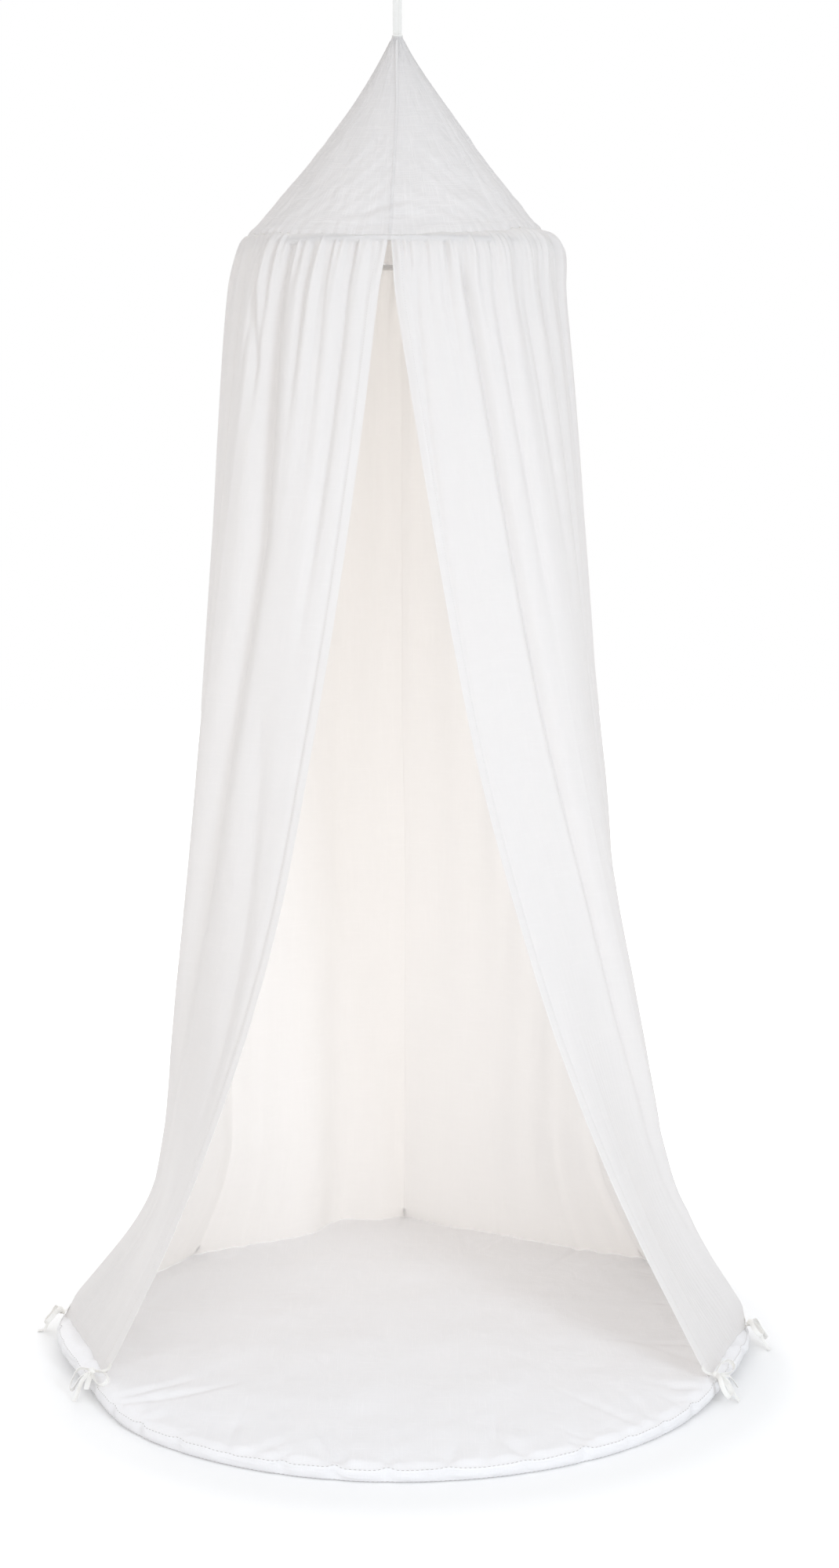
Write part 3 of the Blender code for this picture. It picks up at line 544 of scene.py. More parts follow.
def bump_node(tree, height, distance, strength, below=None):
    node = add_node(tree, "Bump", {"Distance": distance, "Strength": strength, "Height": height})
    if below is not None:
        tree.links.new(below, node.inputs["Normal"])
    return node.outputs["Normal"]


def tinted(tree, colour, shade, factor):
    """Colour that runs from a darker shade of itself to itself."""
    dark = (*[channel * (1.0 - shade) for channel in colour], 1.0)
    tint = add_node(tree, "Mix", data_type="RGBA")
    set_inputs(tree, tint, {"Factor": factor, "A": dark, "B": (*colour, 1.0)})
    return tint.outputs["Result"]


def cotton(name, colour, see_through=0.0, glow=None, slub=0.5, crease=(14.0, 0.35, 0.0012), shade=0.05):
    """Woven cotton: see_through is its share of passed light, of the colour glow, and a crease is
    its count to the metre, its length as a share of its width, and its depth in metres."""
    material, tree, shader = new_material(name)
    cloth = add_node(tree, "UVMap", uv_map="cloth").outputs["UV"]
    weave = add_node(tree, "Group", {"Vector": cloth, "Slub": slub}, node_tree=WEAVE).outputs
    size, length, depth = crease
    folds = add_node(tree, "Group", {"Vector": cloth, "Size": size, "Length": length}, node_tree=CREASES)
    soft = bump_node(tree, folds.outputs["Height"], depth, 0.6)
    set_inputs(tree, shader, {
        "Roughness": 0.92, "Specular IOR Level": 0.12, "Sheen Weight": 0.12, "Sheen Roughness": 0.5,
        "Base Color": tinted(tree, colour, shade, weave["Shade"]),
        "Normal": bump_node(tree, weave["Height"], 0.0003, 0.5, soft),
    })
    if see_through:
        passed = add_node(tree, "BsdfTranslucent", {"Color": (*glow, 1.0), "Normal": soft})
        mix_to_output(tree, see_through, shader, passed)
    return material


def plain(name, colour, roughness):
    """Moulded or spun surface with a fine grain."""
    material, tree, shader = new_material(name)
    place = add_node(tree, "TexCoord").outputs["Object"]
    grain = add_node(tree, "TexNoise", {"Vector": place, "Scale": 600.0, "Detail": 2.0}).outputs["Fac"]
    set_inputs(tree, shader, {
        "Roughness": roughness,
        "Base Color": tinted(tree, colour, 0.07, grain),
        "Normal": bump_node(tree, grain, 0.0001, 0.3),
    })
    return material


ROOF_CREASE = (20.0, 0.6, 0.0024)
TAPE_CREASE = (90.0, 0.6, 0.0004)
SKIRT_CLOTH = cotton("skirt_cotton", (0.92, 0.925, 0.94), 0.45, (0.985, 0.955, 0.92))
ROOF_CLOTH = cotton("roof_cotton", (0.935, 0.93, 0.935), 0.34, (0.97, 0.94, 0.91), 2.6, ROOF_CREASE, 0.11)
MAT_CLOTH = cotton("mat_cotton", (0.975, 0.965, 0.97), slub=0.6, crease=(11.0, 0.8, 0.0022))
TAPE_CLOTH = cotton("tape_cotton", (0.955, 0.94, 0.905), slub=0.9, crease=TAPE_CREASE)
HANGING_CLOTH = cotton("hanging_cotton", (0.84, 0.83, 0.80), slub=0.9, crease=TAPE_CREASE)
THREAD = plain("sewing_thread", (0.84, 0.825, 0.79), 0.8)
# Thread of the mat's seams, darkened to paint the shade of the groove along each seam
SEAM_THREAD_PAINTED_SHADE = plain("seam_thread_painted_shade", (0.66, 0.64, 0.62), 0.85)
HOOP_PLASTIC = plain("hoop_plastic", (0.76, 0.76, 0.74), 0.4)


# Pieces from flat cloth


def new_piece(name, mesh, material):
    piece = new_object(name, mesh)
    mesh.materials.append(material)
    return piece


def cloth_mesh(name, columns, rows, place, cut):
    """Flat cut of cloth in a grid, laid on place(across, down); cut is its size in metres."""
    bm = bmesh.new()
    bmesh.ops.create_grid(bm, x_segments=columns, y_segments=rows, size=0.5)
    mesh = mesh_from(bm, name)
    flat = np.zeros(len(mesh.vertices) * 3)
    mesh.vertices.foreach_get("co", flat)
    flat = flat.reshape(-1, 3)
    across, down = 0.5 - flat[:, 0], 0.5 - flat[:, 1]
    corner = np.zeros(len(mesh.loops), dtype=int)
    mesh.loops.foreach_get("vertex_index", corner)
    layer = mesh.uv_layers.new(name="cloth")
    spread = np.stack([across * cut[0], down * cut[1]], axis=-1)[corner]
    layer.data.foreach_set("uv", spread.ravel())
    mesh.vertices.foreach_set("co", place(across, down).ravel())
    mesh.update()
    mesh.shade_smooth()
    return mesh


def weld(mesh, distance):
    """Close the seam and the poles of a cut that is rolled round."""
    bm = bmesh.new()
    bm.from_mesh(mesh)
    bmesh.ops.remove_doubles(bm, verts=bm.verts, dist=distance)
    bm.to_mesh(mesh)
    bm.free()
    mesh.shade_smooth()


def thicken(piece):
    """Give the cloth its thickness, with crisp cut edges."""
    layer = piece.modifiers.new("cloth_thickness", "SOLIDIFY")
    layer.thickness = CLOTH_THICKNESS
    layer.offset = 0.0
    layer.use_even_offset = False
    piece.data = bpy.data.meshes.new_from_object(piece.evaluated_get(bpy.context.evaluated_depsgraph_get()))
    piece.modifiers.clear()
    piece.data.set_sharp_from_angle(angle=radians(CUT_EDGE_ANGLE))


def stitch_row(name, points, outward, length, material=THREAD, thickness=0.0005):
    """Row of sewn stitches along points, each lying half in the cloth."""
    bm = bmesh.new()
    runs = runs_along(points)
    count = max(2, int(runs[-1] / (length * STITCH_PITCH)))
    middles = (np.arange(count) + 0.5) / count * runs[-1]
    places = path_at(middles, runs, points)
    ends = path_at(middles + 0.5 * length, runs, points)
    ways = path_at(middles, runs, outward)
    for place, end, way in zip(places, ends, ways):
        along = Vector(end) - Vector(place)
        if along.length < 1e-7:
            continue
        along.normalize()
        side = Vector(way).cross(along).normalized()
        turn = Matrix((along, side, along.cross(side))).transposed().to_4x4()
        turn.translation = place
        size = Matrix.Diagonal((0.5 * length, 0.6 * thickness, 0.6 * thickness, 1.0))
        bmesh.ops.create_icosphere(bm, subdivisions=1, radius=1.0, matrix=turn @ size)
    mesh = mesh_from(bm, name)
    mesh.shade_smooth()
    return new_piece(name, mesh, material)


# Forms of the mat and the skirt


def mat_edge_radius(bearing):
    """Outline of the mat, which each tie draws in or out."""
    radius = MAT_RADIUS
    for _, tie_bearing, inset, _ in TIES:
        pull = MAT_TIE_PULL * (MAT_TIE_MARGIN - inset)
        radius = radius + pull * bump_round(bearing, tie_bearing, MAT_TIE_SPREAD)
    return radius


def mat_edge_lift(bearing):
    """How far the side ties and the back ones lift the mat's rim."""
    return sum(lift * bump_round(bearing, centre, spread) for centre, lift, spread in MAT_LIFTS)


def mat_stretch(radius, bearing):
    """How far the drawn outline scales the cover at a radius."""
    share = ease((radius / MAT_RADIUS - MAT_STRETCH_START) / (1.0 - MAT_STRETCH_START))
    return mix(1.0, mat_edge_radius(bearing) / MAT_RADIUS, share)


def mat_rise(radius):
    """Share of the rim's lift that reaches a radius."""
    return ease((radius / MAT_RADIUS - MAT_RISE_START) / (1.0 - MAT_RISE_START))


def mat_top(x, y):
    """Height of the tied mat's top under a point."""
    bearing = np.degrees(np.arctan2(x, -y))
    radius = np.hypot(x, y)
    plain_radius = radius
    for _ in range(6):
        plain_radius = np.minimum(radius / mat_stretch(plain_radius, bearing), MAT_RADIUS)
    crown = mix(MAT_CENTRE_HEIGHT, MAT_EDGE_HEIGHT, (plain_radius / MAT_RADIUS) ** 2)
    return crown + mat_edge_lift(bearing) * mat_rise(plain_radius)


HEM_CORNERS = np.array([
    ((MAT_RADIUS - inset) * sin(radians(bearing)), -(MAT_RADIUS - inset) * cos(radians(bearing)))
    for _, bearing, inset, _ in TIES
])
HEM_RUNS = runs_along(HEM_CORNERS)
HEM_LENGTH = HEM_RUNS[-1]
TIE_SHARES = HEM_RUNS / HEM_LENGTH


def hem_place(share):
    """Bearing and radius of the straight-sided hem."""
    corner = path_at(share, TIE_SHARES, HEM_CORNERS)
    slack = SLACK_DEPTH * bump_at(share, SLACK_SHARE, SLACK_SPREAD)
    x, y = corner[..., 0] + slack * SLACK_WAY[0], corner[..., 1] + slack * SLACK_WAY[1]
    bearing = np.degrees(np.arctan2(x, -y))
    return np.where(bearing > 0.0, bearing - 360.0, bearing), np.hypot(x, y)


def skirt_reach(share, drop):
    """How far out the skirt has gone from the hoop to the hem."""
    knee = np.minimum(2.0 * ease((drop - KNEE_DROP) / (1.0 - KNEE_DROP) * 0.5), 1.0)
    side = mix(knee, drop ** 0.75, SIDE_REACH)
    back = mix(drop ** 6, drop ** 0.9, 0.8)
    back_weight = bump_at(share, 0.5, BACK_SPREAD)
    door_weight = bump_at(np.minimum(share, 1.0 - share), 0.0, DOOR_SPREAD)
    return mix(mix(side, back, back_weight), drop ** 2.8, door_weight)


def belly(share, drop):
    """How far the skirt billows out above the side ties."""
    rise = drop ** 3 * (1.0 - drop ** 12)
    return rise * sum(depth * bump_at(share, centre, BELLY_SPREAD) for centre, depth in BELLIES)


def back_folds():
    """Softer folds round the sides and the back, which the taut lower walls pull out."""
    draw = random.Random(17)
    for index in range(BACK_FOLDS):
        centre = mix(FRONT_FOLDS[8][0][0][1], FRONT_FOLDS[9][0][0][1], (index + 1) / (BACK_FOLDS + 1))
        centre += draw.uniform(-0.006, 0.006)
        lean = draw.uniform(-0.010, 0.010)
        depth = draw.uniform(0.6, 1.4)
        run = tuple((drop, centre + lean * drop, depth * deep) for drop, deep in BACK_FOLD_RUN)
        yield run, draw.uniform(0.007, 0.012)


FOLDS = FRONT_FOLDS + tuple(back_folds())


def main_folds(share, drop):
    """Broad ridges between soft valleys."""
    total = FOLD_SWELL * (1.0 - np.exp(-drop / 0.05)) * (1.0 - drop ** 4)
    for run, width in FOLDS:
        drops, places, depths = np.array(run).T
        centre = np.interp(drop, drops, places)
        depth = FOLD_UNIT * np.interp(drop, drops, depths)
        off = np.abs(share - centre) / (width * mix(1.0, 1.5, drop))
        total = total - depth * np.exp(-off ** 1.7)
    return total


def gathers(share, drop):
    """Fine pleats under the eave, which run together in pairs as they fall."""
    fine = FINE_GATHERS * (share + 0.0016 * strands(share * 95.0, 3))
    broad = BROAD_GATHERS * (share + 0.004 * strands(share * 60.0, 4) + 0.006 * drop)
    fine_strength = 1.0 + 0.7 * strands(share * 210.0, 5)
    broad_strength = 1.0 + 0.7 * strands(share * 90.0, 6)
    broad_length = np.maximum(0.072 * (1.0 + 0.6 * strands(share * 70.0, 8)), 0.026)
    fine_rise = (1.0 - np.exp(-drop / 0.003)) * np.exp(-(drop / 0.026) ** 1.2)
    broad_rise = (1.0 - np.exp(-drop / 0.010)) * np.exp(-(drop / broad_length) ** 1.4)
    broad_shape = 2.0 * np.sqrt(np.sin(pi * broad) ** 2 + 0.06) - 1.35
    fine_fold = FINE_GATHER_DEPTH * fine_strength * fine_rise * np.sin(tau * fine)
    return fine_fold + BROAD_GATHER_DEPTH * broad_strength * broad_rise * broad_shape


def eave_inset(bearing):
    """How far in from the hoop the roof's seam lies: the roof has slid to the left."""
    return SHOULDER * (1.0 + SHOULDER_LEAN * np.sin(np.radians(bearing)))


def seam_rise(bearing):
    """How far the roof's seam rides up from the eave, most at the sides."""
    side = np.sin(np.radians(bearing))
    turn = bearing / 360.0
    wave = 0.0020 * round_strands(turn, 24, 6, 20) + 0.0008 * round_strands(turn, 25, 30, 70)
    return SEAM_RISE[0] + SEAM_RISE[1] * side ** 2 + SEAM_RISE[2] * side + wave


def sideways_lean(bearing, drop):
    """How far the slack skirt hangs over to the left below its hoop."""
    held = mix(1.0, ease(drop / 0.07), 0.5 + 0.5 * np.sin(np.radians(bearing)))
    return SKIRT_LEAN * held * ease(drop / 0.045) * (1.0 - ease((drop - 0.40) / 0.24))


def side_lines(share, drop):
    """Billows that give the two sides their outline."""
    total = 0.0
    for run, (high_share, low_share) in zip((LEFT_SIDE, RIGHT_SIDE), SIDE_SHARES):
        drops, depths = np.array(run).T
        centre = mix(high_share, low_share, ease((drop - 0.5) / 0.4))
        depth = MILLIMETRE * np.interp(drop, drops, depths)
        total = total + depth * bump_at(share, centre, SIDE_SPREAD)
    return total


def shoulder(bearing, drop):
    """How the cloth rolls over the hoop from its seam with the roof."""
    inward = 1.0 - np.minimum(drop / SHOULDER_DROP, 1.0)
    return -eave_inset(bearing) * (1.0 - np.sqrt(1.0 - inward ** 2))


def over_hoop(bearing, height):
    """Least radius of the skirt where it lies on the hoop's sleeve."""
    above = height - HOOP_HEIGHT
    leaving = SHOULDER_WRAP * HOOP_WRAP
    wrapped = HOOP_RING + np.sqrt(np.maximum(HOOP_WRAP ** 2 - above ** 2, 0.0))
    rise = np.maximum(seam_rise(bearing) + EAVE_HEIGHT - HOOP_HEIGHT - leaving, MILLIMETRE)
    slope = np.clip((above - leaving) / rise, 0.0, 1.0)
    leaning = mix(HOOP_RING + leaving, EAVE_RADIUS - eave_inset(bearing), slope)
    return np.where(above > leaving, leaning, np.where(above > -HOOP_WRAP, wrapped, 0.0))


def hem_step(share, drop):
    """Doubled cloth of the hems, up the door's edges and round the foot."""
    edge = np.minimum(share, 1.0 - share)
    door = 1.0 - ease((edge - DOOR_HEM_SHARE) / 0.0006)
    foot = ease((drop - 1.0 + FOOT_HEM_DROP) / 0.0008)
    curl = -DOOR_CURL * ease(1.0 - edge / DOOR_HEM_SHARE) * ease(drop / 0.1)
    return HEM_STEP * np.maximum(door, foot) + curl


def tie_pull(share, drop):
    """Taut ridges that run up from the ties, with slack hollows between them."""
    width = mix(0.040, 0.010, ease((drop - 0.55) / 0.45))
    total = sum(bump_at(share, tie_share, width) for tie_share in TIE_SHARES)
    return TIE_RIDGE * (total - 0.25) * ease((drop - 0.55) / 0.3) * (1.0 - ease((drop - 0.93) / 0.07))


def soft_wrinkles(share, drop):
    """Wide drifting waves and small unevenness of washed cotton."""
    across, down = share * CLOTH_WIDTH, drop * CLOTH_HEIGHT
    wide = 0.0032 * ripples(across * 15.0, down * 2.2, 10) * ease(drop / 0.12)
    fall = 0.0009 * ripples(across * 46.0, down * 5.0, 11) * ease(drop / 0.08)
    cross = 0.0005 * ripples(across * 24.0, down * 30.0, 12) * ease((drop - 0.3) / 0.5)
    return (wide + fall + cross) * (1.0 - ease((drop - 0.90) / 0.10))


def skirt_place(share, drop):
    """Middle surface of the skirt, as rows of x, y and z."""
    top_bearing = DOOR_BEARING - 0.5 * DOOR_SLIT - (360.0 - DOOR_SLIT) * share
    hem_bearing, hem_radius = hem_place(share)
    bearing = mix(top_bearing, hem_bearing, drop ** mix(1.15, 1.0, share))
    radius = mix(EAVE_RADIUS, hem_radius, skirt_reach(share, drop))
    radius = radius + belly(share, drop) + main_folds(share, drop) + gathers(share, drop)
    radius = radius + tie_pull(share, drop) + soft_wrinkles(share, drop)
    radius = radius + shoulder(top_bearing, drop) + hem_step(share, drop) + side_lines(share, drop)
    height = mix(EAVE_HEIGHT + seam_rise(top_bearing), np.interp(share, *HEM_HEIGHTS) + HEM_GAP, drop)
    places = round_places(np.maximum(radius, over_hoop(top_bearing, height)), bearing, height)
    places[..., 0] += sideways_lean(top_bearing, drop)
    return places


def heights_along_hem(mat):
    """Shares round the hem, and the height of the mat's cover below each."""
    tree = BVHTree.FromObject(mat, bpy.context.evaluated_depsgraph_get())
    shares = np.linspace(0.0, 1.0, 1201)
    bearings, radii = hem_place(shares)
    heights = []
    for x, y, _ in round_places(radii, bearings, 0.0):
        hit = tree.ray_cast(Vector((x, y, 0.3)), Vector((0.0, 0.0, -1.0)))[0]
        if hit is None:
            hit = tree.find_nearest(Vector((x, y, 0.05)))[0]
        heights.append(hit.z)
    return shares, np.array(heights)


def skirt_normal(share, drop):
    """Outward direction of the skirt at each place."""
    step = 0.0006
    left = skirt_place(np.maximum(share - step, 0.0), drop)
    right = skirt_place(np.minimum(share + step, 1.0), drop)
    above = skirt_place(share, np.maximum(drop - step, 0.0))
    below = skirt_place(share, np.minimum(drop + step, 1.0))
    return unit(np.cross(right - left, below - above))


def row_spacing(down):
    """Rows crowd together under the eave, where the gathers are, and at the hem."""
    return mix(0.30 * down + 0.70 * down ** 1.9, 1.0 - (1.0 - down) ** 1.8, 0.25 * ease((down - 0.6) / 0.4))


# Skirt


def fold_zone(side):
    """Two points across a curtain's fold line, from the fixed cloth to the curtain."""
    joint = next(item for item in frame["joints"] if item["name"] == f"{side}_flap_fold")
    line = Vector(joint["axis"]).normalized()
    top = Vector(joint["pos_m"])
    towards_door = Vector((1.0 if side == "left" else -1.0, -1.0, 0.0))
    towards_door = (towards_door - line * towards_door.dot(line)).normalized()
    return top - FOLD_ZONE[0] * towards_door, top + FOLD_ZONE[1] * towards_door


def hang(piece, carrier):
    """Ride on the canopy, or, for a door curtain, bake the piece in place and find the ends of its fold zone.
    """
    if carrier in ("left", "right"):
        start, end = fold_zone(carrier)
        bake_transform(piece)
        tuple(start)
        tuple(end)
    else:
        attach(piece, carrier)


def skirt_stitches(name, share, drop, carrier):
    """Row of stitches on the outside of the skirt."""
    outward = skirt_normal(share, drop)
    seam = skirt_place(share, drop) + outward * 0.5 * CLOTH_THICKNESS
    stitches = stitch_row(name, seam, outward, STITCH_LENGTH)
    hang(stitches, carrier)
    return stitches


def skirt_panel(name, low, high, grid, carrier, nodes):
    """Panel of the skirt between two shares, with its turned and stitched foot."""
    cut = ((high - low) * HEM_LENGTH, CLOTH_HEIGHT)

    def place(across, down):
        return skirt_place(mix(low, high, across), row_spacing(down))

    piece = new_piece(name, cloth_mesh(name, *grid, place, cut), SKIRT_CLOTH)
    thicken(piece)
    hang(piece, carrier)
    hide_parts(*nodes)

    share = np.linspace(low, high, 240)
    drop = np.full_like(share, 1.0 - FOOT_HEM_DROP + 0.0004)
    stitches = skirt_stitches(f"{name}_foot_stitches", share, drop, carrier)


def door_stitches(side):
    """Row of stitches that holds the turned hem up one edge of the door."""
    edge = 0.5 * (1.0 - DOOR_HEM_SHARE * 1.9)
    drop = np.linspace(0.006, 0.995, 500)
    share = np.full_like(drop, 0.5 + (edge if side == "right" else -edge))
    skirt_stitches(f"{side}_door_stitches", share, drop, side)


def build_skirt():
    left_seam, right_seam = SIDE_SEAM_SHARES
    back = float(TIE_SHARES[3])
    panels = (
        ("front_left", 0.0, left_seam, DOOR_GRID, "left",
         ("skirt_left_front", "left_door_curtain", "left_door_hem")),
        ("back_left", left_seam, back, BACK_GRID, "canopy", ("skirt_left_side", "skirt_back_left")),
        ("back_right", back, right_seam, BACK_GRID, "canopy", ("skirt_back_right", "skirt_right_side")),
        ("front_right", right_seam, 1.0, DOOR_GRID, "right",
         ("skirt_right_front", "right_door_curtain", "right_door_hem")),
    )
    for name, *panel in panels:
        skirt_panel(f"skirt_{name}_panel", *panel)
    for side in ("left", "right"):
        door_stitches(side)


# Roof


def roof_wrinkles(turn, ahead, fall):
    """Slack waves, dragged wrinkles and seam ridges, deepest at the front and the back."""
    x, y = np.cos(tau * turn), np.sin(tau * turn)
    slack = ease((fall - 0.25) / 0.6) * (0.35 + 0.65 * x ** 2) * (1.0 - ease((fall - 0.9) / 0.1))
    drift = ripples(x * 4.5 + fall * 13.0, y * 4.5 + fall * 15.0, 21)
    creases = ripples(x * 9.0 - fall * 33.0, y * 9.0 + fall * 27.0, 22)
    beside, run = 1.07 * np.abs(ahead) - 0.33 * fall, 0.7 * np.abs(ahead) + 0.47 * fall
    dragged = ripples(beside * 190.0, run * 16.0, 27)
    wrinkles = slack * (ROOF_WAVES[0] * drift + ROOF_WAVES[1] * creases + ROOF_WAVES[2] * dragged)
    seam = (4.0 * turn + 0.5) % 1.0 - 0.5
    ridge = x ** 2 * np.exp(-np.abs(seam) / 0.09) * ease(fall / 0.15) * (1.0 - ease((fall - 0.75) / 0.2))
    return wrinkles + ROOF_SEAM_RIDGE * ridge


def roof_tuck(ahead, fall):
    """Cloth that is bunched along a sagging line above the door."""
    sag = 0.10 * np.abs(ahead / ROOF_TUCK_SPREAD + 0.15) ** 1.5
    line = ROOF_TUCK_FALL + sag + 0.012 * np.sin(60.0 * ahead)
    tuck = bump_at(fall, line, 0.026) - 0.7 * bump_at(fall, line - 0.032, 0.016)
    strength = np.exp(-((ahead + 0.012) / ROOF_TUCK_SPREAD) ** 4) * (0.65 + 0.35 * np.sin(45.0 * ahead + 1.0))
    bunched = ripples(ahead * 260.0, fall * 120.0, 26) * bump_at(fall, line + 0.05, 0.04)
    return (ROOF_TUCK_DEPTH * tuck + ROOF_BUNCH_DEPTH * bunched) * strength


def roof_place(turn, fall):
    """Middle surface of the roof: turn goes once round from the front seam, fall from 0 to 1."""
    bearing = DOOR_BEARING - 360.0 * turn
    ahead = (turn + 0.5) % 1.0 - 0.5
    fall = np.minimum(fall, 1.0)
    height = mix(APEX_HEIGHT, EAVE_HEIGHT + seam_rise(bearing), fall)
    radius = mix(APEX_RADIUS - 0.001, EAVE_RADIUS - 0.003 - eave_inset(bearing), fall ** ROOF_BEND)
    radius = radius + roof_wrinkles(turn, ahead, fall) + roof_tuck(ahead, fall)
    pucker = np.sin(tau * (ROOF_PUCKERS * turn + 0.25 * round_strands(turn, 23, 4, 15)))
    swell = bump_at(fall, 0.975, 0.018) * (1.0 + 0.6 * round_strands(turn, 24, 6, 20))
    radius = radius + ROOF_PUCKER_OUT * pucker * ease((fall - 0.90) / 0.1) + ROOF_EAVE_SWELL * swell
    height = height - ROOF_PUCKER_DOWN * pucker * ease((fall - 0.93) / 0.07)
    places = round_places(radius, bearing, height)
    places[..., 0] += APEX_LEAN * (1.0 - ease(fall / 0.45))
    return places


def build_roof():
    def place(across, down):
        return roof_place(across, 0.002 + 0.998 * down ** 1.05)

    mesh = cloth_mesh("roof_cone", *ROOF_GRID, place, (1.0, 0.47))
    weld(mesh, WELD)
    roof = new_piece("roof_cone", mesh, ROOF_CLOTH)
    thicken(roof)
    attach(roof, "canopy")
    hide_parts(*[name for name in frame["nodes"] if name.startswith("roof_gore")])

    fall = np.linspace(0.03, 0.99, 150)
    seams = []
    for quarter in range(4):
        bearing = radians(DOOR_BEARING - 90.0 * quarter)
        outward = np.array((0.8 * sin(bearing), -0.8 * cos(bearing), 0.6))
        line = roof_place(np.full_like(fall, quarter / 4), fall) + 0.0007 * outward
        seams.append(ribbon_mesh(line, (cos(bearing), sin(bearing), 0.0), *FELLED_SEAM))
    felled = joined("roof_seams", seams, ROOF_CLOTH, "canopy")


# Mat


def mat_nicks(bearing):
    """Nicks where the boxed edge is drawn in along its seam: 1 at each nick."""
    turn = MAT_NICKS * bearing / 360.0 + 0.22 * round_strands(bearing / 360.0, 31, 3, 13)
    depth = 0.75 + 0.4 * round_strands(bearing / 360.0, 32, 5, 16)
    return depth * np.abs(np.cos(pi * turn)) ** 14


def rim_creases(bearing, radius):
    """Soft creases that run in from the rim, strongest at the front left."""
    draw = random.Random(7)
    total = 0.0
    for index in range(RIM_CREASES):
        centre = -180.0 + 360.0 * (index + draw.uniform(-0.4, 0.4)) / RIM_CREASES
        length = draw.uniform(0.05, 0.24)
        slant = draw.uniform(-0.5, 0.5)
        width = draw.uniform(0.7, 1.5)
        strength = draw.uniform(0.2, 1.0) * (1.4 if -75.0 < centre < 10.0 else 0.8)
        inward = (MAT_RADIUS - radius) / length
        middle = centre + slant * 12.0 * inward * length / 0.1
        run = ease(1.35 - inward) * ease(inward / 0.12 + 0.25)
        valley = bump_round(bearing, middle, width) - 0.4 * bump_round(bearing, middle, 2.6 * width)
        total = total + strength * run * valley
    return -RIM_CREASE_DEPTH * total


def gathered_rim(bearing):
    """Where the rim is gathered between a pair of ties, which pleats its cover finely."""
    return sum(bump_round(bearing, centre, RIM_PLEAT_SPREAD) for centre, _, _ in MAT_LIFTS[:2])


def mat_place(across, down):
    """Mat's cover: down runs from the middle of the top over the edge to the middle of the base."""
    bearing = 180.0 - 360.0 * across
    around = bearing / 360.0
    lift = mat_edge_lift(bearing)
    nick = mat_nicks(bearing)
    pleats = np.sin(tau * RIM_PLEATS * around + 2.0 * round_strands(around, 33, 15, 50))
    pleats = pleats * gathered_rim(bearing)
    seam_height = MAT_EDGE_HEIGHT - 0.0035 + lift + 0.0032 * nick
    seam_height = seam_height + 0.0009 * round_strands(around, 37, 12, 45)

    top_share = np.clip(down / MAT_BAND_START, 0.0, 1.0)
    top_radius = MAT_SEAM_RADIUS * (1.0 - (1.0 - top_share) ** 1.6)
    seen = top_radius / MAT_RADIUS
    to_seam = ease((seen - 0.955) / 0.0357)
    inner = 1.0 - ease((seen - 0.90) / 0.1)
    x, y, _ = round_places(top_radius, bearing, 0.0).T
    wander = 0.0017 * ripples(x * 24.0, y * 24.0, 34) + 0.0007 * ripples(x * 70.0, y * 70.0, 35)
    top = mix(MAT_CENTRE_HEIGHT, MAT_EDGE_HEIGHT + 0.003, seen ** 2) - 0.003 * inner * seen ** 2
    top = top + lift * mat_rise(top_radius) + rim_creases(bearing, top_radius)
    top = top + wander * ease(seen / 0.2) * inner
    top = top - 0.0040 * nick * bump_at(seen, 0.958, 0.030) + 0.0011 * pleats * ease((seen - 0.84) / 0.12)
    top = mix(top, seam_height, to_seam)
    top_radius = (top_radius - NICK_DRAW * nick * to_seam) * mat_stretch(top_radius, bearing)

    band_share = np.clip((down - MAT_BAND_START) / (MAT_BASE_START - MAT_BAND_START), 0.0, 1.0)
    bulge = np.sin(pi * band_share)
    swell = MAT_SWELL * bulge ** 0.7 * (1.0 - 0.75 * nick)
    swell = swell + bulge * (0.0007 * round_strands(around, 36, 30, 90) + 0.0008 * pleats)
    band_radius = MAT_SEAM_RADIUS + swell - NICK_DRAW * nick * (1.0 - band_share)
    band_radius = band_radius * mat_edge_radius(bearing) / MAT_RADIUS
    band = mix(seam_height, 0.0012 + lift, band_share)

    base_share = np.clip((down - MAT_BASE_START) / (1.0 - MAT_BASE_START), 0.0, 1.0)
    base_radius = MAT_SEAM_RADIUS * (1.0 - base_share)
    base = 0.0004 + lift * mat_rise(base_radius)
    base_radius = base_radius * mat_stretch(base_radius, bearing)

    on_top, on_base = down <= MAT_BAND_START, down >= MAT_BASE_START
    radius = np.where(on_top, top_radius, np.where(on_base, base_radius, band_radius))
    return round_places(radius, bearing, np.where(on_top, top, np.where(on_base, base, band)))


def build_mat():
    mesh = cloth_mesh("mat", *MAT_GRID, mat_place, (tau * MAT_RADIUS, 0.9))
    layer = mesh.uv_layers["cloth"]
    for face in mesh.polygons:
        middle = sum((mesh.vertices[index].co for index in face.vertices), Vector()) / 4.0
        if abs(face.normal.z) > 0.6 or middle.xy.length < 0.6:
            for loop in face.loop_indices:
                layer.data[loop].uv = mesh.vertices[mesh.loops[loop].vertex_index].co.xy
    weld(mesh, MAT_WELD)
    mat = new_piece("padded_mat", mesh, MAT_CLOTH)
    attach(mat, "mat")
    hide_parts("mat_top_cover", "mat_side_band", "mat_base_cover", "mat_filling")

    bearing = np.linspace(-180.0, 180.0, 1200)
    across = (180.0 - bearing) / 360.0
    outward = round_places(np.ones_like(bearing), bearing, 0.0)
    # The seams' stitches are in the darkened thread, which paints the shade of their grooves
    for name, down, lift in (("mat_upper_seam", 0.598, 0.0004), ("mat_lower_seam", 0.772, 0.0)):
        line = mat_place(across, np.full_like(across, down))
        line[:, 2] += lift
        seam = stitch_row(name, line, outward, MAT_STITCH_LENGTH, SEAM_THREAD_PAINTED_SHADE, MAT_STITCH_THICKNESS)
        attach(seam, "mat")
    return mat


# Hoop


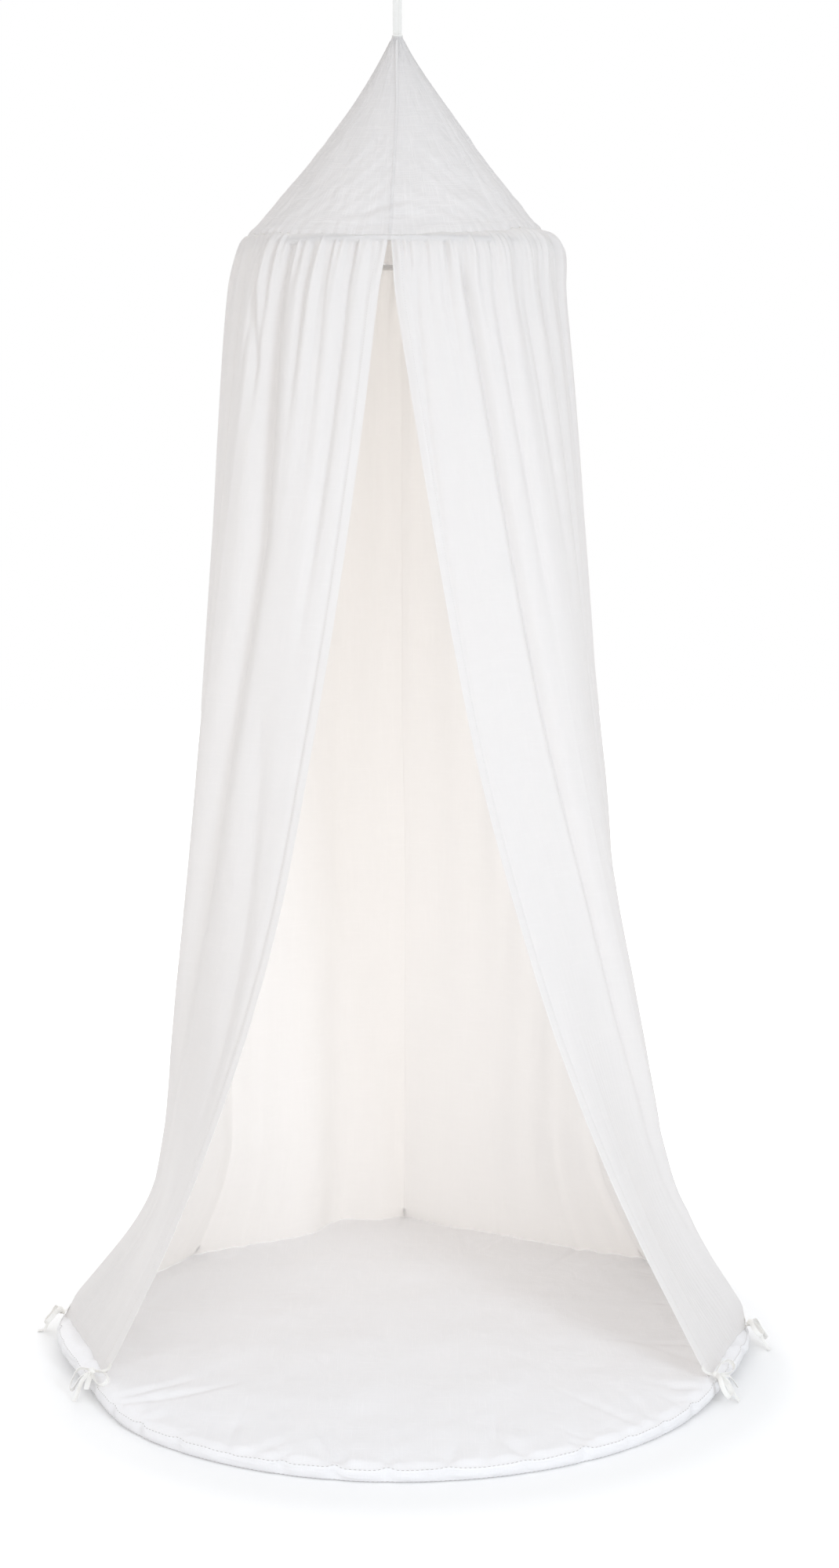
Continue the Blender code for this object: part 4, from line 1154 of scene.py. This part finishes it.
def build_hoop():
    """The hoop's own tube and joiner stay as packed, inside a gathered sleeve."""
    for name in ("hoop_tube", "hoop_joiner"):
        node = frame["nodes"][name]
        node.data.materials.clear()
        node.data.materials.append(HOOP_PLASTIC)

    def place(across, down):
        angle = tau * down
        pucker = 0.0004 * np.sin(tau * 150.0 * across + 2.0 * round_strands(across, 41, 5, 25))
        thick = HOOP_SLEEVE - 0.0006 + pucker + 0.0003 * round_strands(across, 42, 20, 60)
        radius = HOOP_RING - thick * np.cos(angle)
        return round_places(radius, 180.0 - 360.0 * across, HOOP_HEIGHT + thick * np.sin(angle))

    mesh = cloth_mesh("hoop_sleeve_fabric", *SLEEVE_GRID, place, (tau * HOOP_RING * 1.4, tau * HOOP_SLEEVE))
    weld(mesh, WELD)
    sleeve = new_piece("hoop_sleeve_fabric", mesh, SKIRT_CLOTH)
    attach(sleeve, "canopy")
    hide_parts("hoop_sleeve")


# Tapes


def smooth_path(points, count):
    """Evenly spaced points on a soft curve through a few places."""
    points = np.array([tuple(point) for point in points], dtype=float)
    for _ in range(3):
        low = points[:-1] * 0.75 + points[1:] * 0.25
        high = points[:-1] * 0.25 + points[1:] * 0.75
        points = np.concatenate([points[:1], np.stack([low, high], axis=1).reshape(-1, 3), points[-1:]])
    runs = runs_along(points)
    return path_at(np.linspace(0.0, runs[-1], count), runs, points)


def ribbon_mesh(path, sideways, width, thickness, crown=0.0):
    """Tape along a path; sideways is one direction, or one for each point of the path."""
    count = len(path)
    along = unit(np.gradient(path, axis=0))
    side = np.broadcast_to(np.array(sideways, dtype=float), path.shape)
    side = unit(side - along * np.sum(side * along, axis=1, keepdims=True))
    up = np.cross(side, along)

    def place(across, down):
        index = np.clip(np.rint(down * (count - 1)).astype(int), 0, count - 1)
        off = across - 0.5
        bow = crown * (1.0 - (2.0 * off) ** 2)
        return path[index] + side[index] * (off * width)[:, None] + up[index] * bow[:, None]

    mesh = cloth_mesh("ribbon", 6, count - 1, place, (width, float(runs_along(path)[-1])))
    bm = bmesh.new()
    bm.from_mesh(mesh)
    bmesh.ops.solidify(bm, geom=bm.faces[:], thickness=thickness)
    bm.to_mesh(mesh)
    bm.free()
    return mesh


def knot_mesh(place, bearing):
    """Small round knot, with the furrows of the tape wound in it."""
    bm = bmesh.new()
    bmesh.ops.create_icosphere(bm, subdivisions=3, radius=1.0)
    bm.loops.layers.uv.new("cloth")
    for vert in bm.verts:
        co = vert.co
        furrow = 0.10 * abs(sin(3.2 * co.x + 1.9 * co.y + 0.7)) + 0.07 * abs(sin(2.6 * co.y - 3.1 * co.z))
        vert.co = co * (0.88 + furrow)
    bmesh.ops.scale(bm, vec=KNOT_SIZE, verts=bm.verts)
    bmesh.ops.rotate(bm, matrix=Matrix.Rotation(radians(bearing), 3, "Z"), verts=bm.verts)
    bmesh.ops.translate(bm, vec=place, verts=bm.verts)
    return mesh_from(bm, "knot")


def joined(name, meshes, material, carrier):
    """One piece from several meshes."""
    bm = bmesh.new()
    for mesh in meshes:
        bm.from_mesh(mesh)
        bpy.data.meshes.remove(mesh)
    mesh = mesh_from(bm, name)
    mesh.shade_smooth()
    mesh.set_sharp_from_angle(angle=radians(CUT_EDGE_ANGLE))
    piece = new_piece(name, mesh, material)
    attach(piece, carrier)
    return piece


def spot(radius, bearing, height):
    return Vector((radius * sin(radians(bearing)), -radius * cos(radians(bearing)), height))


def lying_height(place, rise, rest):
    """Height of a tape that lies over the mat's rim, and on the floor beyond it."""
    bearing = degrees(np.arctan2(place.x, -place.y))
    rim = float(mat_edge_radius(bearing))
    radius = place.xy.length
    fall = float(ease((radius - rim - RIM_CLEARANCE) / RIM_FALL))
    inner = spot(min(radius, rim), bearing, 0.0)
    return mix(float(mat_top(inner.x, inner.y)) + rise, rest, fall)


def lying_point(knot, bearing, length, rise, rest):
    """Point of a tape at a length from its knot, the tape heading off at a bearing."""
    heading = spot(1.0, bearing, 0.0)
    place = knot.copy()
    gone = 0.0
    while gone < length:
        stride = min(0.004, length - gone)
        gone += stride
        start = mix(KNOT_RISE, rise, float(ease(gone / (2.0 * KNOT_OUT))))
        ahead = place + heading * stride
        ahead.z = lying_height(ahead, start, rest)
        place = place + (ahead - place).normalized() * stride
    return place


def bow_meshes(knot, middle):
    """Two loops and two tails of a bow whose middle points at a bearing."""
    meshes = [knot_mesh(knot, middle)]
    length, width = BOW_LOOP
    tilt = radians(BOW_TILT)
    for which, hand in enumerate((-1.0, 1.0)):
        bearing = middle + hand * BOW_LOOP_SPREAD[which]
        heading = spot(1.0, bearing, 0.0)
        beside = Vector((0, 0, 1)).cross(heading) * hand
        over = Vector((0, 0, cos(tilt))) + beside * sin(tilt)
        path = []
        for step in range(15):
            turn = pi * step / 14
            point = lying_point(knot, bearing, length * sin(turn), KNOT_RISE, KNOT_RISE)
            path.append(point + over * (0.5 * width * sin(2.0 * turn) + 0.0013 * cos(turn)))
        tape = (TAPE_WIDTH * BOW_LOOP_NARROWING, TAPE_THICKNESS, 0.0008)
        meshes.append(ribbon_mesh(smooth_path(path, 40), heading.cross(over), *tape))

        bearing = middle + hand * BOW_TAIL_SPREAD[which]
        stride = BOW_TAILS[which] / 8
        path = [lying_point(knot, bearing, stride * step, BOW_TAIL_RISE, BOW_TAIL_REST) for step in range(9)]
        across = spot(1.0, bearing + 90.0, 0.0)
        meshes.append(ribbon_mesh(smooth_path(path, 24), across, TAPE_WIDTH, TAPE_THICKNESS, 0.0012))
    return meshes


def build_ties():
    """A bow at each corner of the hem, and the mat's own tape below it."""
    for (name, bearing, inset, turn), tie_share in zip(TIES, TIE_SHARES):
        along = spot(1.0, bearing + 90.0, 0.0)
        rim = float(mat_edge_radius(bearing))
        knot = spot(max(MAT_RADIUS - inset + KNOT_OUT, rim - KNOT_FROM_RIM), bearing, 0.0)
        knot.z = lying_height(knot, KNOT_RISE, KNOT_RISE)
        meshes = bow_meshes(knot, bearing + turn)

        root = [knot]
        for hem_drop in TIE_ROOT_DROPS:
            share, drop = np.array([tie_share]), np.array([hem_drop])
            root.append(Vector((skirt_place(share, drop) + skirt_normal(share, drop) * TIE_ROOT_OUT)[0]))
        meshes.append(ribbon_mesh(smooth_path(root, 14), along, TAPE_WIDTH, TAPE_THICKNESS))
        bow = joined(f"tie_{name}", meshes, TAPE_CLOTH, FLAP_TIES.get(name, "canopy"))
        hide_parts(f"bow_{name}")

        low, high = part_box(f"mat_tape_{name}")
        foot = spot(MAT_SEAM_RADIUS * rim / MAT_RADIUS - 0.0015, bearing, low.z + 0.0009)
        head = knot - Vector((0, 0, KNOT_SIZE[2] + 0.001))
        bend = foot.lerp(head, 0.3)
        bend.z = min(0.5 * (low.z + high.z) + 0.002, head.z)
        mesh = ribbon_mesh(smooth_path([foot, bend, head], 10), along, TAPE_WIDTH, TAPE_THICKNESS)
        tape = joined(f"mat_tie_{name}", [mesh], TAPE_CLOTH, "mat")
        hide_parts(f"mat_tape_{name}")


def build_hanging_tape():
    """Two strands of folded tape side by side, which open into an eye."""
    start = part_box("hanging_loop")[0].z + 0.0005
    path = [(STRAND_HALF, 0.0, start), (STRAND_HALF, 0.0, start + 0.5 * STRAND_LEG)]
    for step in range(25):
        angle = pi * step / 24
        x = STRAND_HALF * cos(angle) + (EYE_HALF - STRAND_HALF) * sin(2.0 * angle)
        path.append((x, 0.0, start + STRAND_LEG + EYE_HEIGHT * sin(angle)))
    path += [(-STRAND_HALF, 0.0, start + 0.5 * STRAND_LEG), (-STRAND_HALF, 0.0, start)]
    course = smooth_path(path, 160)
    opened = np.clip((course[:, 2] - start - 0.95 * STRAND_LEG) / (0.35 * STRAND_LEG), 0.0, 1.0)
    swing = ease(opened) * 0.5 * pi
    sideways = np.stack([np.cos(swing), np.sin(swing), np.zeros_like(swing)], axis=-1)
    sideways[80:] *= -1.0
    course[:, 0] += APEX_LEAN
    mesh = ribbon_mesh(course, sideways, *HANGING_TAPE)
    loop = joined("hanging_tape", [mesh], HANGING_CLOTH, "loop")
    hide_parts("hanging_loop")


def build_apex_band():
    """Sewn end of the roof at its point, with two turns of tape."""
    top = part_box("apex_tape_end")[1].z
    bm = bmesh.new()
    low, high = PLUG_RADII
    bmesh.ops.create_cone(bm, cap_ends=True, segments=40, radius1=low, radius2=high, depth=PLUG_HEIGHT)
    bm.loops.layers.uv.new("cloth")
    bmesh.ops.translate(bm, vec=(APEX_LEAN, 0.0, top - PLUG_DROP), verts=bm.verts)
    wrap = [mesh_from(bm, "apex")]
    turns = np.linspace(0.0, tau, 60)
    for drop in WRAP_DROPS:
        x, y = APEX_LEAN + WRAP_RADIUS * np.cos(turns), WRAP_RADIUS * np.sin(turns)
        ring = np.stack([x, y, np.full_like(turns, top - drop)], axis=-1)
        wrap.append(ribbon_mesh(ring, (0.0, 0.0, 1.0), *WRAP_TAPE))
    band = joined("apex_band", wrap, HANGING_CLOTH, "canopy")
    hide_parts("apex_tape_end")


HEM_HEIGHTS = heights_along_hem(build_mat())
build_hoop()
build_skirt()
build_roof()
build_ties()
build_hanging_tape()
build_apex_band()
